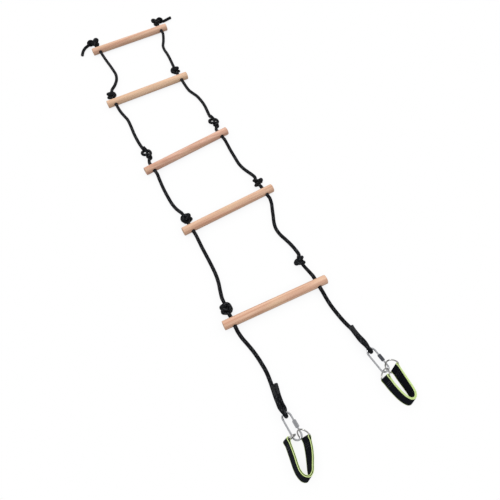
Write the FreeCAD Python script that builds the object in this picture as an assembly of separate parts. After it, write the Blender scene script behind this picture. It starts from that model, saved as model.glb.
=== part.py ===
import FreeCAD, Part
import math
import os

# Rope ladder laid out on the ground: five rungs on two ropes, each rope ending in an eye
# on a quick link, beside a sewn strap with two D rings.
# +Z is up and the ground is Z = 0.  The rungs lie roughly along X, the straps are at the
# -Y end and the loose rope tails at the +Y end.  "left" is the -X side.  Millimetres.

Vector = FreeCAD.Vector
UP = Vector(0, 0, 1)
SIDES = ("left", "right")
ORIGIN = (26.250, -222.567)         # model origin, in the plan coordinates used below

# ------------------------------------------------------------------ rung sizes
RUNG_LENGTH = 400.0
RUNG_DIA = 34.0
RUNG_Z = RUNG_DIA / 2               # axis height
RUNG_EDGE_ROUND = 2.0
HOLE_SPACING = 330.0                # rope hole to rope hole
HOLE_DIA = 16.0
RIM_DEPTH = 2.2                     # rim cone starts this far inside the rung surface
RIM_LENGTH = 4.2
RIM_START_R = HOLE_DIA / 2 - 0.4
RIM_END_R = HOLE_DIA / 2 + 1.8

# rung number, from the strap end: (centre x, centre y, skew in degrees)
RUNGS = {
    1: (-36.0, -812.0, -3.7),
    2: (4.0, -382.5, 1.3),
    3: (-9.0, -23.5, 4.5),
    4: (-8.0, 412.5, -1.0),
    5: (57.5, 806.0, -0.9),
}
MIDDLE_RUNG = 3
LAST_RUNG = 5

# ------------------------------------------------------------------ rope sizes
ROPE_DIA = 14.0
ROPE_R = ROPE_DIA / 2
FLOOR = 7.2                         # rope centre height when it lies on the ground
KNOT_R = 15.0
END_KNOT_R = 16.6                   # knot at the last rung
KNOT_REACH = 3.0                    # half length of a knot beyond its radius
KNOT_CLEAR = 1.0                    # no plain rope section this close to a knot
KNOT_STEPS = 7                      # sections from the middle of a knot to its end

ROPE_SAMPLE = 2.0                   # spacing of centre line samples
ROPE_STEP = 12.0                    # spacing of lofted sections
LEAD_SAMPLE = 1.5                   # the same two for the lead with its eye
LEAD_STEP = 3.6

# Rope pieces meet at bending points: a round end on the point, an eased end short of it.
PLAIN, ROUND, EASED = "plain", "round", "eased"
JOINT_GAP = 8.2                     # eased end to bending point
EASE_LENGTH = 1.8
EASE_DEPTH = 1.6
# sections of a round end: (distance beyond the end point, radius), in rope radii
ROUND_CAP = [(0.25, 0.968), (0.5, 0.866), (0.7, 0.714), (0.86, 0.51), (0.95, 0.312),
             (0.99, 0.14)]

PIVOT_STRAP_SIDE = 38.0             # rung axis to bending point, strap side
PIVOT_KNOT_SIDE = {1: 129.0, 2: 83.0, 3: 115.0, 4: 83.0}   # rung axis to bending line, knot side
# straight rope in a rung: offsets from the rung axis, positive on the knot side
IN_RUNG = (31.0, 25.0, -25.0, -32.0)

# ------------------------------------------------------- rope centre lines (x, y, z)
# loose tails, from the free end
TAILS = {
    "left": [(-196, 829, FLOOR), (-181, 857, FLOOR), (-163, 876, FLOOR), (-146, 883, 9),
             (-130, 880, 14)],
    "right": [(313, 878, FLOOR), (298, 875, FLOOR), (281, 871, FLOOR), (264, 868, 9),
              (249, 866, 14)],
}
TAIL_PIVOT = 3                      # index of the bending point in a tail

# knot centres (x, y) by rung number, at rung axis height
KNOTS = {
    "left": {5: (-114, 874), 4: (-171, 461.5), 3: (-166, 52), 2: (-159.5, -341),
             1: (-198.5, -748)},
    "right": {5: (230, 865), 4: (158, 470), 3: (165.5, 71), 2: (167, -322), 1: (123.5, -717)},
}

# rope from each rung's strap side to the knot of the next rung, keyed by that next rung;
# ("pivot", x) is where it crosses the bending line of that rung
SPANS = {
    "left": {
        4: [(-106.5, 745, 12), (-104, 715, 7.8), (-101.5, 680, FLOOR), (-100, 640, FLOOR),
            (-100.5, 603, FLOOR), (-110, 569, FLOOR), (-131, 532, 11), ("pivot", -157.0),
            (-166, 477, 17)],
        3: [(-172.3, 350, 12), (-167, 320, 7.8), (-162, 289, FLOOR), (-164.5, 240, FLOOR),
            (-169, 194, FLOOR), (-170.8, 145, FLOOR), (-170.2, 110, 9.5), ("pivot", -167.5)],
        2: [(-173.2, -100, 12.5), (-175.5, -126, 7.8), (-177.5, -152, FLOOR),
            (-179, -204, FLOOR), (-178.3, -240, FLOOR), (-174.5, -268, 9), (-170, -288, 13.5),
            ("pivot", -165.5), (-161, -323, 17)],
        1: [(-161, -450, 12), (-162.5, -480, 7.8), (-163.5, -512, FLOOR), (-166, -572, FLOOR),
            (-169.5, -612, FLOOR), (-175.5, -643, 10), ("pivot", -184.5), (-193, -705, 17),
            (-197.6, -730, 17)],
    },
    "right": {
        4: [(213.5, 742, 12), (200, 713, 7.8), (184.5, 682, FLOOR), (178.5, 650, FLOOR),
            (178, 616, FLOOR), (174, 570, FLOOR), (167.5, 527, 10), ("pivot", 161.5)],
        3: [(157.2, 345, 12), (160, 318, 7.8), (168, 290, FLOOR), (175.2, 266, FLOOR),
            (179, 230, FLOOR), (179, 195, FLOOR), (174, 155, FLOOR), (168.8, 125, 10.5),
            ("pivot", 166.8)],
        2: [(157.8, -75, 12), (155.7, -106, 7.8), (153, -150, FLOOR), (151, -194, FLOOR),
            (155.5, -225, FLOOR), (163, -251, 8), (168.3, -276, 13), ("pivot", 170.0)],
        1: [(164.5, -440, 12), (155, -462, 7.8), (142.5, -490, FLOOR), (128, -522, FLOOR),
            (121.2, -548, FLOOR), (121.8, -578, FLOOR), (128, -606, FLOOR), (133, -632, 8),
            (134.8, -662, 12.5), ("pivot", 132.5)],
    },
}

# rope from rung 1 to the eye
LEADS = {
    "left": [(-200.5, -866, 12), (-194.5, -893, 7.8), (-189, -925, FLOOR), (-186, -962, FLOOR),
             (-185.8, -1005, FLOOR), (-190, -1036, FLOOR), (-195, -1062, 8), (-200, -1085, 9.2),
             (-203.5, -1105, 15), (-205.0, -1124, 23.5)],
    "right": [(125.2, -887, 12), (125.5, -917, 7.8), (128, -958, FLOOR), (131, -985, FLOOR),
              (133.5, -1003, 9.5), (135.4, -1022, 15.0), (136.3, -1045, 15.4),
              (137.0, -1070, 17.5), (139.4, -1092, 24.5)],
}
# strand folded back from the eye
RETURNS = {
    "left": [(-195.4, -1131, FLOOR), (-192.6, -1113, FLOOR), (-190.0, -1096, FLOOR),
             (-186.6, -1080, FLOOR), (-182.6, -1066, FLOOR), (-179.2, -1052, FLOOR)],
    "right": [(148.6, -1095, FLOOR), (149.4, -1078, FLOOR), (147.6, -1055, FLOOR),
              (145.6, -1035, FLOOR), (145.2, -1022, FLOOR), (145.8, -1012, FLOOR)],
}

EYE_R = 10.6                        # rope centre round the link wire
EYE_SLANT = 2.5                     # sideways offset of each end of the eye
EYE_STEPS = 8                       # steps in the half turn of the eye
EYE_END_LIFT = 0.2                  # extra height of the last eye point

STITCHES = {"left": (-1055.0, -3.4), "right": (-1016.0, -3.6)}   # first stitch y, step in y
STITCH_COUNT = 9
STITCH_INSET = 1.0                  # stitch end to strand centre, inward
STITCH_CLEAR = 0.22                 # gap between thread and rope
THREAD_DIA = 1.3

# ------------------------------------------------------------------ quick links
LINK_WIRE_R = 3.0
LINK_BOW_R = 14.0                   # bow centre line radius
LINK_STRAIGHT = 59.0                # straight rail length
LINK_Z = 17.6
LINK_GAP = (-8.0, 2.0)              # opening in the +X rail, measured along it
NUT_LENGTH = 24.0
NUT_AF = 11.4                       # across flats
NUT_CORNER_R = NUT_AF / math.sqrt(3)
NUT_CHAMFER = 1.2                   # corner radius lost at the end faces
NUT_CHAMFER_LENGTH = 2.0
NUT_COVER = 0.1                     # chamfer tool stands this far outside the corners
NUT_BORE = 6.4
LINKS = {"left": (-202.0, -1186.0, 0.0), "right": (147.0, -1150.5, 4.8)}   # x, y, skew in deg

# ------------------------------------------------------------------ D rings
RING_WIRE = 4.4                     # wire diameter
RING_HALF = 23.0                    # half width of the D, wire centre
RING_LEG = 9.0                      # bar to start of the bow
RING_CORNER = 4.0
# bar centre, direction of the bar, direction from the bar to the bow
RINGS = {
    ("left", "outer"): ((-237.8, -1213.9, 30.4), (0.3515, 0.0663, 0.9338),
                        (0.9352, 0.0340, -0.3545)),
    ("left", "inner"): ((-182.0, -1236.0, 24.8), (0.5000, -0.0695, 0.8632),
                        (-0.2935, 0.9240, 0.2444)),
    ("right", "inner"): ((129.4, -1210.4, 29.0), (0.4487, 0.0675, 0.8911),
                         (0.5290, 0.7841, -0.3258)),
    ("right", "outer"): ((175.8, -1199.3, 27.2), (0.5640, 0.2963, 0.7708),
                         (-0.4585, 0.8887, -0.0061)),
}

# ------------------------------------------------------------------ straps
WEB_WIDTH = 38.0
WEB_THICK = 7.0                     # two plies sewn together
WEB_FOLD_R = 6.2                    # outside radius of the fold round a ring bar
WEB_FOLD_BORE = 5.8
WEB_LIFT = 1.3                      # raises the leaning band above its tabled edge height
WEB_SAMPLE = 1.0                    # spacing of centre line samples
WEB_END_CLEAR = 3.6                 # no band section this close to a ring bar
WEB_SKIP = 9                        # every ninth sample becomes a section
WEB_TAIL = 4                        # final samples left out, apart from the very last
# lower edge from the -X ring to the +X ring: x, y, edge height, lean x, lean y
STRAPS = {
    "left": [(-246.6, -1228.0, 9.0, 0.35, 0.06), (-249.5, -1245.0, 6.0, 0.36, 0.05),
             (-253.5, -1266.0, 3.5, 0.37, 0.04), (-257.5, -1288.0, 1.8, 0.36, 0.08),
             (-258.5, -1308.0, 0.8, 0.34, 0.16), (-253.5, -1327.0, 0.4, 0.33, 0.24),
             (-242.5, -1335.0, 0.4, 0.35, 0.23), (-231.5, -1328.0, 0.5, 0.40, 0.17),
             (-222.0, -1309.0, 0.9, 0.47, 0.10), (-212.0, -1288.0, 1.6, 0.53, 0.03),
             (-202.5, -1266.0, 3.0, 0.55, -0.02), (-196.5, -1249.5, 5.0, 0.53, -0.05)],
    "right": [(121.6, -1224.5, 8.0, 0.44, 0.06), (123.8, -1242.0, 5.0, 0.42, 0.05),
              (127.5, -1260.0, 3.0, 0.40, 0.05), (132.0, -1279.0, 1.6, 0.38, 0.08),
              (138.5, -1296.0, 0.8, 0.35, 0.16), (148.0, -1308.5, 0.4, 0.32, 0.22),
              (158.5, -1309.5, 0.4, 0.33, 0.22), (166.5, -1298.5, 0.6, 0.37, 0.20),
              (168.5, -1281.0, 1.2, 0.42, 0.18), (168.0, -1260.0, 2.4, 0.46, 0.20),
              (167.0, -1239.5, 4.0, 0.51, 0.24), (166.0, -1220.0, 6.5, 0.55, 0.28)],
}


# ------------------------------------------------------------------ geometry helpers
def unit(vector):
    length = math.sqrt(sum(c * c for c in vector))
    return tuple(c / length for c in vector)


def offset(point, direction, distance):
    return tuple(a + distance * b for a, b in zip(point, direction))


def between(start, end, fraction):
    return tuple(a + fraction * (b - a) for a, b in zip(start, end))


def toward(start, end):
    """Unit direction from one point to another."""
    return unit(tuple(b - a for a, b in zip(start, end)))


def to_model(point):
    """Plan coordinates to a vector about the model origin."""
    return Vector(point[0] - ORIGIN[0], point[1] - ORIGIN[1], point[2])


def rod(start, end, radius):
    start, end = to_model(start), to_model(end)
    return Part.makeCylinder(radius, (end - start).Length, start, end - start)


def loft_solid(wires):
    """Ruled solid loft, turned right side out if it comes out inverted."""
    body = Part.makeLoft(wires, True, True)
    if body.Volume < 0:
        body.reverse()
    return body


def smooth(points, first, last, step):
    """Centripetal Catmull-Rom samples from one point index to another, kept off the ground."""
    samples = [points[first]]
    for i in range(first, last):
        p1, p2 = points[i], points[i + 1]
        p0 = points[i - 1] if i > 0 else tuple(2 * a - b for a, b in zip(p1, p2))
        p3 = points[i + 2] if i + 2 < len(points) else tuple(2 * b - a for a, b in zip(p1, p2))
        knots = [0.0]
        for a, b in ((p0, p1), (p1, p2), (p2, p3)):
            knots.append(knots[-1] + max(math.dist(a, b), 1e-6) ** 0.5)
        count = max(2, int(math.dist(p1, p2) / step) + 1)
        for k in range(1, count + 1):
            here = knots[1] + (knots[2] - knots[1]) * k / count

            def mix(a, b, i_a, i_b):
                k_a, k_b = knots[i_a], knots[i_b]
                return tuple(((k_b - here) * x + (here - k_a) * y) / (k_b - k_a)
                             for x, y in zip(a, b))
            a1, a2, a3 = mix(p0, p1, 0, 1), mix(p1, p2, 1, 2), mix(p2, p3, 2, 3)
            x, y, z = mix(mix(a1, a2, 0, 2), mix(a2, a3, 1, 3), 1, 2)
            samples.append((x, y, max(z, FLOOR)))
    return samples


def running_length(path):
    lengths = [0.0]
    for a, b in zip(path, path[1:]):
        lengths.append(lengths[-1] + math.dist(a, b))
    return lengths


def point_at(path, lengths, distance):
    j = 0
    while j < len(lengths) - 2 and lengths[j + 1] < distance:
        j += 1
    fraction = (distance - lengths[j]) / (lengths[j + 1] - lengths[j])
    return between(path[j], path[j + 1], fraction)


def trim_start(path, distance):
    """Shortens a point path by a distance from its start."""
    path = list(path)
    while len(path) > 2:
        segment = math.dist(path[0], path[1])
        if segment > distance:
            path[0] = between(path[0], path[1], distance / segment)
            break
        distance -= segment
        path = path[1:]
    if len(path) > 2 and math.dist(path[0], path[1]) < 2.0:
        path.pop(1)                 # avoids a very short first segment
    return path


# ------------------------------------------------------------------ layout
def rung_frame(i):
    """Direction along a rung, and its level normal towards the tails."""
    skew = math.radians(RUNGS[i][2])
    c, s = math.cos(skew), math.sin(skew)
    return (c, s, 0.0), (-s, c, 0.0)


def hole_point(i, side, out):
    """Point on a rope hole's axis, a distance out from the rung axis towards the tails."""
    half = (-1.0 if side == "left" else 1.0) * HOLE_SPACING / 2
    along, normal = rung_frame(i)
    x, y, _ = RUNGS[i]
    return (x + half * along[0] + out * normal[0], y + half * along[1] + out * normal[1], RUNG_Z)


def knot_side_pivot(i, x):
    """Point at x on the line parallel to the rung that the rope bends about."""
    along, normal = rung_frame(i)
    line_x = RUNGS[i][0] + PIVOT_KNOT_SIDE[i] * normal[0]
    line_y = RUNGS[i][1] + PIVOT_KNOT_SIDE[i] * normal[1]
    return (x, line_y + (x - line_x) * along[1] / along[0], RUNG_Z)


def link_dir(side, x, y):
    skew = math.radians(LINKS[side][2])
    return (math.cos(skew) * x - math.sin(skew) * y, math.sin(skew) * x + math.cos(skew) * y, 0.0)


def link_point(side, x, y, z=0.0):
    dx, dy, _ = link_dir(side, x, y)
    return (LINKS[side][0] + dx, LINKS[side][1] + dy, LINK_Z + z)


def rope_layout(side):
    """Centre line points of a whole rope, and the index of every bending point."""
    points = list(TAILS[side])
    pivots = {("knot", LAST_RUNG): TAIL_PIVOT}
    for i in reversed(RUNGS):
        points.append(KNOTS[side][i] + (RUNG_Z,))
        points += [hole_point(i, side, out) for out in IN_RUNG]
        pivots["strap", i] = len(points)
        points.append(hole_point(i, side, -PIVOT_STRAP_SIDE))
        for point in SPANS[side].get(i - 1, []):
            if point[0] == "pivot":
                pivots["knot", i - 1] = len(points)
                point = knot_side_pivot(i - 1, point[1])
            points.append(point)
    points += LEADS[side]
    bow_top = LINK_STRAIGHT / 2 + LINK_BOW_R
    for k in range(EYE_STEPS + 1):
        angle = math.radians(90 - 180 / EYE_STEPS * k)
        lift = EYE_END_LIFT if k == EYE_STEPS else 0.0
        points.append(link_point(side, EYE_SLANT * (2 * k / EYE_STEPS - 1),
                                 bow_top - EYE_R * math.cos(angle),
                                 EYE_R * math.sin(angle) + lift))
    return points + RETURNS[side], pivots


# ------------------------------------------------------------------ rungs
def make_rung(i):
    along, normal = rung_frame(i)
    x, y, _ = RUNGS[i]
    end = (x - along[0] * RUNG_LENGTH / 2, y - along[1] * RUNG_LENGTH / 2, RUNG_Z)
    body = Part.makeCylinder(RUNG_DIA / 2, RUNG_LENGTH, to_model(end), Vector(*along))
    rims = [e for e in body.Edges if abs(e.Length - math.pi * RUNG_DIA) < 1e-3]
    body = body.makeFillet(RUNG_EDGE_ROUND, rims)
    cuts = []
    for side in SIDES:
        cuts.append(rod(hole_point(i, side, -RUNG_DIA), hole_point(i, side, RUNG_DIA),
                        HOLE_DIA / 2))
        for sign in (-1, 1):        # eased rims
            base = hole_point(i, side, sign * (RUNG_DIA / 2 - RIM_DEPTH))
            cuts.append(Part.makeCone(RIM_START_R, RIM_END_R, RIM_LENGTH, to_model(base),
                                      Vector(*normal) * sign))
    return body.cut(cuts)


# ------------------------------------------------------------------ ropes
def tube(path, radii):
    """Circles carried along a point path without twist, then skinned."""
    centres = [to_model(p) for p in path]
    tangents = []
    for j in range(len(centres)):
        tangent = centres[min(j + 1, len(centres) - 1)] - centres[max(j - 1, 0)]
        tangent.normalize()
        tangents.append(tangent)
    across = tangents[0].cross(UP)
    across.normalize()
    wires = []
    for centre, tangent, radius in zip(centres, tangents, radii):
        across = across - tangent * across.dot(tangent)
        across.normalize()
        third = tangent.cross(across)
        frame = FreeCAD.Matrix(across.x, third.x, tangent.x, centre.x,
                               across.y, third.y, tangent.y, centre.y,
                               across.z, third.z, tangent.z, centre.z,
                               0, 0, 0, 1)
        circle = Part.Edge(Part.Circle(Vector(0, 0, 0), UP, radius))
        circle.Placement = FreeCAD.Placement(frame)
        wires.append(Part.Wire([circle]))
    return loft_solid(wires)


def finish_start(points, radii, style):
    """Adds the sections that ease or round off the start of a rope."""
    tip, neighbour = points[:2]
    if style == EASED:
        inner = offset(tip, toward(tip, neighbour), EASE_LENGTH)
        return [tip, inner] + points[1:], [ROPE_R - EASE_DEPTH, ROPE_R] + radii[1:]
    if style == ROUND:
        outward = toward(neighbour, tip)
        cap = ROUND_CAP[::-1]
        return ([offset(tip, outward, out * ROPE_R) for out, _ in cap] + points,
                [radius * ROPE_R for _, radius in cap] + radii)
    return points, radii


def rope(path, step, start=PLAIN, end=PLAIN, knot=None, knot_radius=0.0):
    """A rope piece along a path, swelling to a knot at the point knot if one is given."""
    if start == EASED:
        path = trim_start(path, JOINT_GAP)
    if end == EASED:
        path = trim_start(path[::-1], JOINT_GAP)[::-1]
    lengths = running_length(path)
    total = lengths[-1]
    count = max(2, int(round(total / step)))
    stations = {total * k / count: ROPE_R for k in range(count + 1)}   # distance: radius
    if knot is not None:
        nearest = min(range(len(path)), key=lambda j: math.dist(path[j], knot))
        middle = lengths[nearest]
        reach = knot_radius + KNOT_REACH
        stations = {s: r for s, r in stations.items() if abs(s - middle) > reach + KNOT_CLEAR}
        for k in range(-KNOT_STEPS, KNOT_STEPS + 1):
            u = k / KNOT_STEPS
            swell = (knot_radius - ROPE_R) * math.sqrt(max(0.0, 1 - u * u))
            stations[middle + u * reach] = ROPE_R + swell
    distances = sorted(stations)
    points = [point_at(path, lengths, s) for s in distances]
    radii = [stations[s] for s in distances]
    points, radii = finish_start(points, radii, start)
    points, radii = finish_start(points[::-1], radii[::-1], end)
    return tube(points[::-1], radii[::-1])


def make_stitching(side, points, first):
    """Thread bars across the lead and the strand folded back beside it, on its +X side."""
    path = smooth(points, first, len(points) - 1, ROPE_SAMPLE)
    turn = min(range(len(path)), key=lambda j: path[j][1])
    first_y, step_y = STITCHES[side]
    bars = []
    for k in range(STITCH_COUNT):
        y = first_y + step_y * k
        lead = min(path[:turn], key=lambda p: abs(p[1] - y))
        back = min(path[turn:], key=lambda p: abs(p[1] - y))
        z = max(lead[2], back[2]) + ROPE_R + THREAD_DIA / 2 + STITCH_CLEAR
        bars.append(rod((lead[0] + STITCH_INSET, y, z), (back[0] - STITCH_INSET, y, z),
                        THREAD_DIA / 2))
    return Part.makeCompound(bars)


def make_ropes(side):
    """All pieces of one rope.  At each joint the round end is on the piece nearer the
    middle rung."""
    points, pivots = rope_layout(side)
    pieces = {}

    def piece(first, last, *ends_and_knot):
        return rope(smooth(points, first, last, ROPE_SAMPLE), ROPE_STEP, *ends_and_knot)

    pieces["rope_tail"] = piece(0, TAIL_PIVOT, PLAIN, EASED)
    for i in RUNGS:                 # rope through each rung with its knot
        pieces["rope_knot_%d" % i] = piece(
            pivots["knot", i], pivots["strap", i],
            ROUND if i >= MIDDLE_RUNG else EASED,
            ROUND if i <= MIDDLE_RUNG else EASED,
            KNOTS[side][i] + (RUNG_Z,),
            END_KNOT_R if i == LAST_RUNG else KNOT_R)
    for i in SPANS[side]:           # free rope between two rungs
        pieces["rope_span_%d_%d" % (i, i + 1)] = piece(
            pivots["strap", i + 1], pivots["knot", i],
            ROUND if i >= MIDDLE_RUNG else EASED,
            ROUND if i < MIDDLE_RUNG else EASED)
    first = pivots["strap", 1]
    lead = smooth(points, first, len(points) - 1, LEAD_SAMPLE)
    pieces["rope_lead"] = rope(lead, LEAD_STEP, EASED)
    pieces["eye_stitching"] = make_stitching(side, points, first)
    return pieces


# ------------------------------------------------------------------ quick links
def link_bow(side, sign):
    """Half ring at the +Y (sign 1) or -Y (sign -1) end of a link."""
    centre = to_model(link_point(side, 0, sign * LINK_STRAIGHT / 2))
    torus = Part.makeTorus(LINK_BOW_R, LINK_WIRE_R, centre, UP, 0, 360, 360)
    size = 4 * LINK_BOW_R
    box = Part.makeBox(2 * size, size, 2 * size, Vector(-size, 0, -size))
    axis = link_dir(side, 0, 1)
    box.rotate(Vector(0, 0, 0), UP, math.degrees(math.atan2(axis[1] * sign, axis[0] * sign)) - 90)
    box.translate(centre)
    return torus.common(box)


def make_link(side):
    half = LINK_STRAIGHT / 2

    def rail(x, start, end):
        return rod(link_point(side, x, start), link_point(side, x, end), LINK_WIRE_R)

    return link_bow(side, 1).fuse([link_bow(side, -1),
                                   rail(-LINK_BOW_R, -half, half),
                                   rail(LINK_BOW_R, -half, LINK_GAP[0]),
                                   rail(LINK_BOW_R, LINK_GAP[1], half)])


def make_nut(side):
    """Hexagonal sleeve nut on the +X rail, with chamfered corners."""
    across, axis = Vector(*link_dir(side, 1, 0)), Vector(*link_dir(side, 0, 1))

    def on_rail(y):
        return to_model(link_point(side, LINK_BOW_R, y))

    half = NUT_LENGTH / 2
    base = on_rail(-half)
    corners = []
    for k in range(7):
        angle = math.radians(60 * k)
        corners.append(base + (across * math.cos(angle) + UP * math.sin(angle)) * NUT_CORNER_R)
    hexagon = Part.Face(Part.makePolygon(corners)).extrude(axis * NUT_LENGTH)
    small, large = NUT_CORNER_R - NUT_CHAMFER, NUT_CORNER_R + NUT_COVER
    depth = NUT_CHAMFER_LENGTH
    low = Part.makeCone(small, large, depth, base, axis)
    middle = Part.makeCylinder(large, NUT_LENGTH - 2 * depth, on_rail(depth - half), axis)
    high = Part.makeCone(large, small, depth, on_rail(half - depth), axis)
    nut = hexagon.common(low.fuse([middle, high]))
    bore = rod(link_point(side, LINK_BOW_R, -NUT_LENGTH), link_point(side, LINK_BOW_R, NUT_LENGTH),
               NUT_BORE / 2)
    return nut.cut(bore)


# ------------------------------------------------------------------ D rings
def make_ring(centre, bar, bow):
    bar = unit(bar)
    dot = sum(a * b for a, b in zip(bar, bow))
    bow = unit(offset(bow, bar, -dot))      # square to the bar

    def at(s, t):
        """Point s along the bar and t towards the bow."""
        return to_model(offset(offset(centre, bar, s), bow, t))

    def arc(*stops):
        return Part.Arc(*[at(*stop) for stop in stops]).toShape()

    half, leg, corner = RING_HALF, RING_LEG, RING_CORNER
    flat = half - corner            # half length of the straight bar
    diagonal = corner * math.sqrt(0.5)
    edges = [
        Part.makeLine(at(-flat, 0), at(flat, 0)),
        arc((flat, 0), (flat + diagonal, corner - diagonal), (half, corner)),
        Part.makeLine(at(half, corner), at(half, leg)),
        arc((half, leg), (0, leg + half), (-half, leg)),
        Part.makeLine(at(-half, leg), at(-half, corner)),
        arc((-half, corner), (-flat - diagonal, corner - diagonal), (-flat, 0)),
    ]
    solids = []
    for edge in edges:
        start = edge.valueAt(edge.FirstParameter)
        tangent = edge.tangentAt(edge.FirstParameter)
        profile = Part.Wire([Part.Edge(Part.Circle(start, tangent, RING_WIRE / 2))])
        solids.append(Part.Wire([edge]).makePipeShell([profile], True, False))
    return solids[0].fuse(solids[1:])


# ------------------------------------------------------------------ straps
def make_strap(side):
    """Leaning band between the bars of two D rings, with a bored fold round each bar."""
    order = ("outer", "inner") if side == "left" else ("inner", "outer")
    (start, start_bar), (end, end_bar) = [
        (RINGS[side, which][0], unit(RINGS[side, which][1])) for which in order]
    middles, leans = [], []
    for x, y, z, lean_x, lean_y in STRAPS[side]:
        lean = (lean_x, lean_y, math.sqrt(1 - lean_x * lean_x - lean_y * lean_y))
        leans.append(lean)
        middles.append(offset((x, y, z + WEB_LIFT), lean, WEB_WIDTH / 2))
    path = [start] + middles + [end]
    leans = [start_bar] + leans + [end_bar]
    fine = smooth(path, 0, len(path) - 1, WEB_SAMPLE)
    coarse_length, fine_length = running_length(path), running_length(fine)
    total = fine_length[-1]
    wires = []
    for j, point in enumerate(fine):
        if fine_length[j] < WEB_END_CLEAR or total - fine_length[j] < WEB_END_CLEAR:
            continue
        # the lean is carried along the path in proportion to length
        s = fine_length[j] / total * coarse_length[-1]
        k = max(i for i in range(len(path) - 1) if coarse_length[i] <= s + 1e-9)
        fraction = (s - coarse_length[k]) / (coarse_length[k + 1] - coarse_length[k])
        lean = Vector(*unit(between(leans[k], leans[k + 1], fraction)))
        normal = Vector(*toward(fine[j - 1], fine[j + 1])).cross(lean)
        normal.normalize()
        wide, thick = lean * (WEB_WIDTH / 2), normal * (WEB_THICK / 2)
        centre = to_model(point)
        first = centre - wide - thick
        wires.append(Part.makePolygon([first, centre + wide - thick, centre + wide + thick,
                                       centre - wide + thick, first]))
    band = loft_solid(wires[:-WEB_TAIL:WEB_SKIP] + [wires[-1]])

    def bar_rods(reach, radius):
        return [rod(offset(centre, bar, -reach), offset(centre, bar, reach), radius)
                for centre, bar in ((start, start_bar), (end, end_bar))]

    folds = bar_rods(WEB_WIDTH / 2, WEB_FOLD_R)
    return band.fuse(folds).cut(bar_rods(WEB_WIDTH, WEB_FOLD_BORE / 2))


# ------------------------------------------------------------------ output
parts = {"rung_%d" % i: make_rung(i) for i in RUNGS}
for side in SIDES:
    for name, shape in make_ropes(side).items():
        parts["%s_%s" % (side, name)] = shape
    parts["%s_quick_link" % side] = make_link(side)
    parts["%s_link_nut" % side] = make_nut(side)
    parts["%s_strap" % side] = make_strap(side)
for (side, which), ring in RINGS.items():
    parts["%s_%s_d_ring" % (side, which)] = make_ring(*ring)

os.makedirs("parts", exist_ok=True)
for name, shape in parts.items():
    shape.exportStep("parts/%s.step" % name)
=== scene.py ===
"""Rope ladder lying on the ground: five beech rungs on two knotted black ropes.

Layout coordinates are millimetres: the ground is Z = 0, +Z is up and the rungs lie along X.
The webbing straps are at the -Y end and the loose rope tails at the +Y end; "left" is -X.
to_metres() turns layout coordinates into scene metres.
"""
import bpy
import bmesh
import math
import numpy as np
from mathutils import Matrix, Vector


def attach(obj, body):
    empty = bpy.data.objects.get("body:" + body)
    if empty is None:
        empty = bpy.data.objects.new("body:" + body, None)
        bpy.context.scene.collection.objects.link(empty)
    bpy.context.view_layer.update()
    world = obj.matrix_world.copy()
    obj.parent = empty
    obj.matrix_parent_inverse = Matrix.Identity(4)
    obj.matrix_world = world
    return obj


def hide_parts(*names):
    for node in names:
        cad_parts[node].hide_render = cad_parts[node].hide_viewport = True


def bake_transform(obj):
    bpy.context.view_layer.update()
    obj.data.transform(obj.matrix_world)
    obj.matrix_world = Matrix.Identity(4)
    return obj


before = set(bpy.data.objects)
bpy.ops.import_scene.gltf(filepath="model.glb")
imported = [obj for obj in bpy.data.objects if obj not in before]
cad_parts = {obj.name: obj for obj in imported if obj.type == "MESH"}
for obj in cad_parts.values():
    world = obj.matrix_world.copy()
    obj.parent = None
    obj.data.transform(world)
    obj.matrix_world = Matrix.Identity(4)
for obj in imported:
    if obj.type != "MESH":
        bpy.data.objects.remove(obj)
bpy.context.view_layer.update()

# ---------------------------------------------------------------- layout, millimetres
MM = 0.001                          # metres in one millimetre
ORIGIN = (26.250, -222.567)         # layout place of the scene origin
SIDES = {"left": -1.0, "right": 1.0}

RUNG_LENGTH = 400.0
RUNG_DIA = 34.0
RUNG_AXIS_Z = RUNG_DIA / 2
HOLE_SPACING = 330.0                # rope hole to rope hole
# rung number: (centre x, centre y, skew in degrees)
RUNGS = {
    1: (-36.0, -812.0, -3.7),
    2: (4.0, -382.5, 1.3),
    3: (-9.0, -23.5, 4.5),
    4: (-8.0, 412.5, -1.0),
    5: (57.5, 806.0, -0.9),
}

ROPE_R = 7.0
KNOT_ROPE_R = 6.1                   # the rope is squeezed thinner inside a knot
FLOOR_Z = 7.2                       # rope centre when it lies on the ground
HOLE_STATIONS = (31.0, 25.0, -25.0, -32.0)     # straight stretch, from the rung axis
STRAP_BEND = 38.0                   # rung axis to bending line, strap side
KNOT_BENDS = {1: 129.0, 2: 83.0, 3: 115.0, 4: 83.0}     # the same, knot side

LINK_BOW_R = 14.0                   # quick link: bow centre line radius
LINK_STRAIGHT = 59.0                # straight rail length
LINK_Z = 17.6
# side: (centre x, centre y, skew in degrees)
LINKS = {"left": (-202.0, -1186.0, 0.0), "right": (147.0, -1150.5, 4.8)}

EYE_R = 10.6                        # rope centre round the link wire
EYE_SLANT = 2.5                     # sideways drift of the eye each way from its middle
EYE_STEPS = 8                       # half turn of the eye
EYE_END_LIFT = 0.2                  # brings the end of the half turn to FLOOR_Z

FZ = FLOOR_Z
# Rope centre lines, (x, y, z), tail end first. The last tail point is a bending point.
TAILS = {
    "left": [(-196, 829, FZ), (-181, 857, FZ), (-163, 876, FZ), (-146, 883, 9)],
    "right": [(313, 878, FZ), (298, 875, FZ), (281, 871, FZ), (264, 868, 9)],
}
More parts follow.
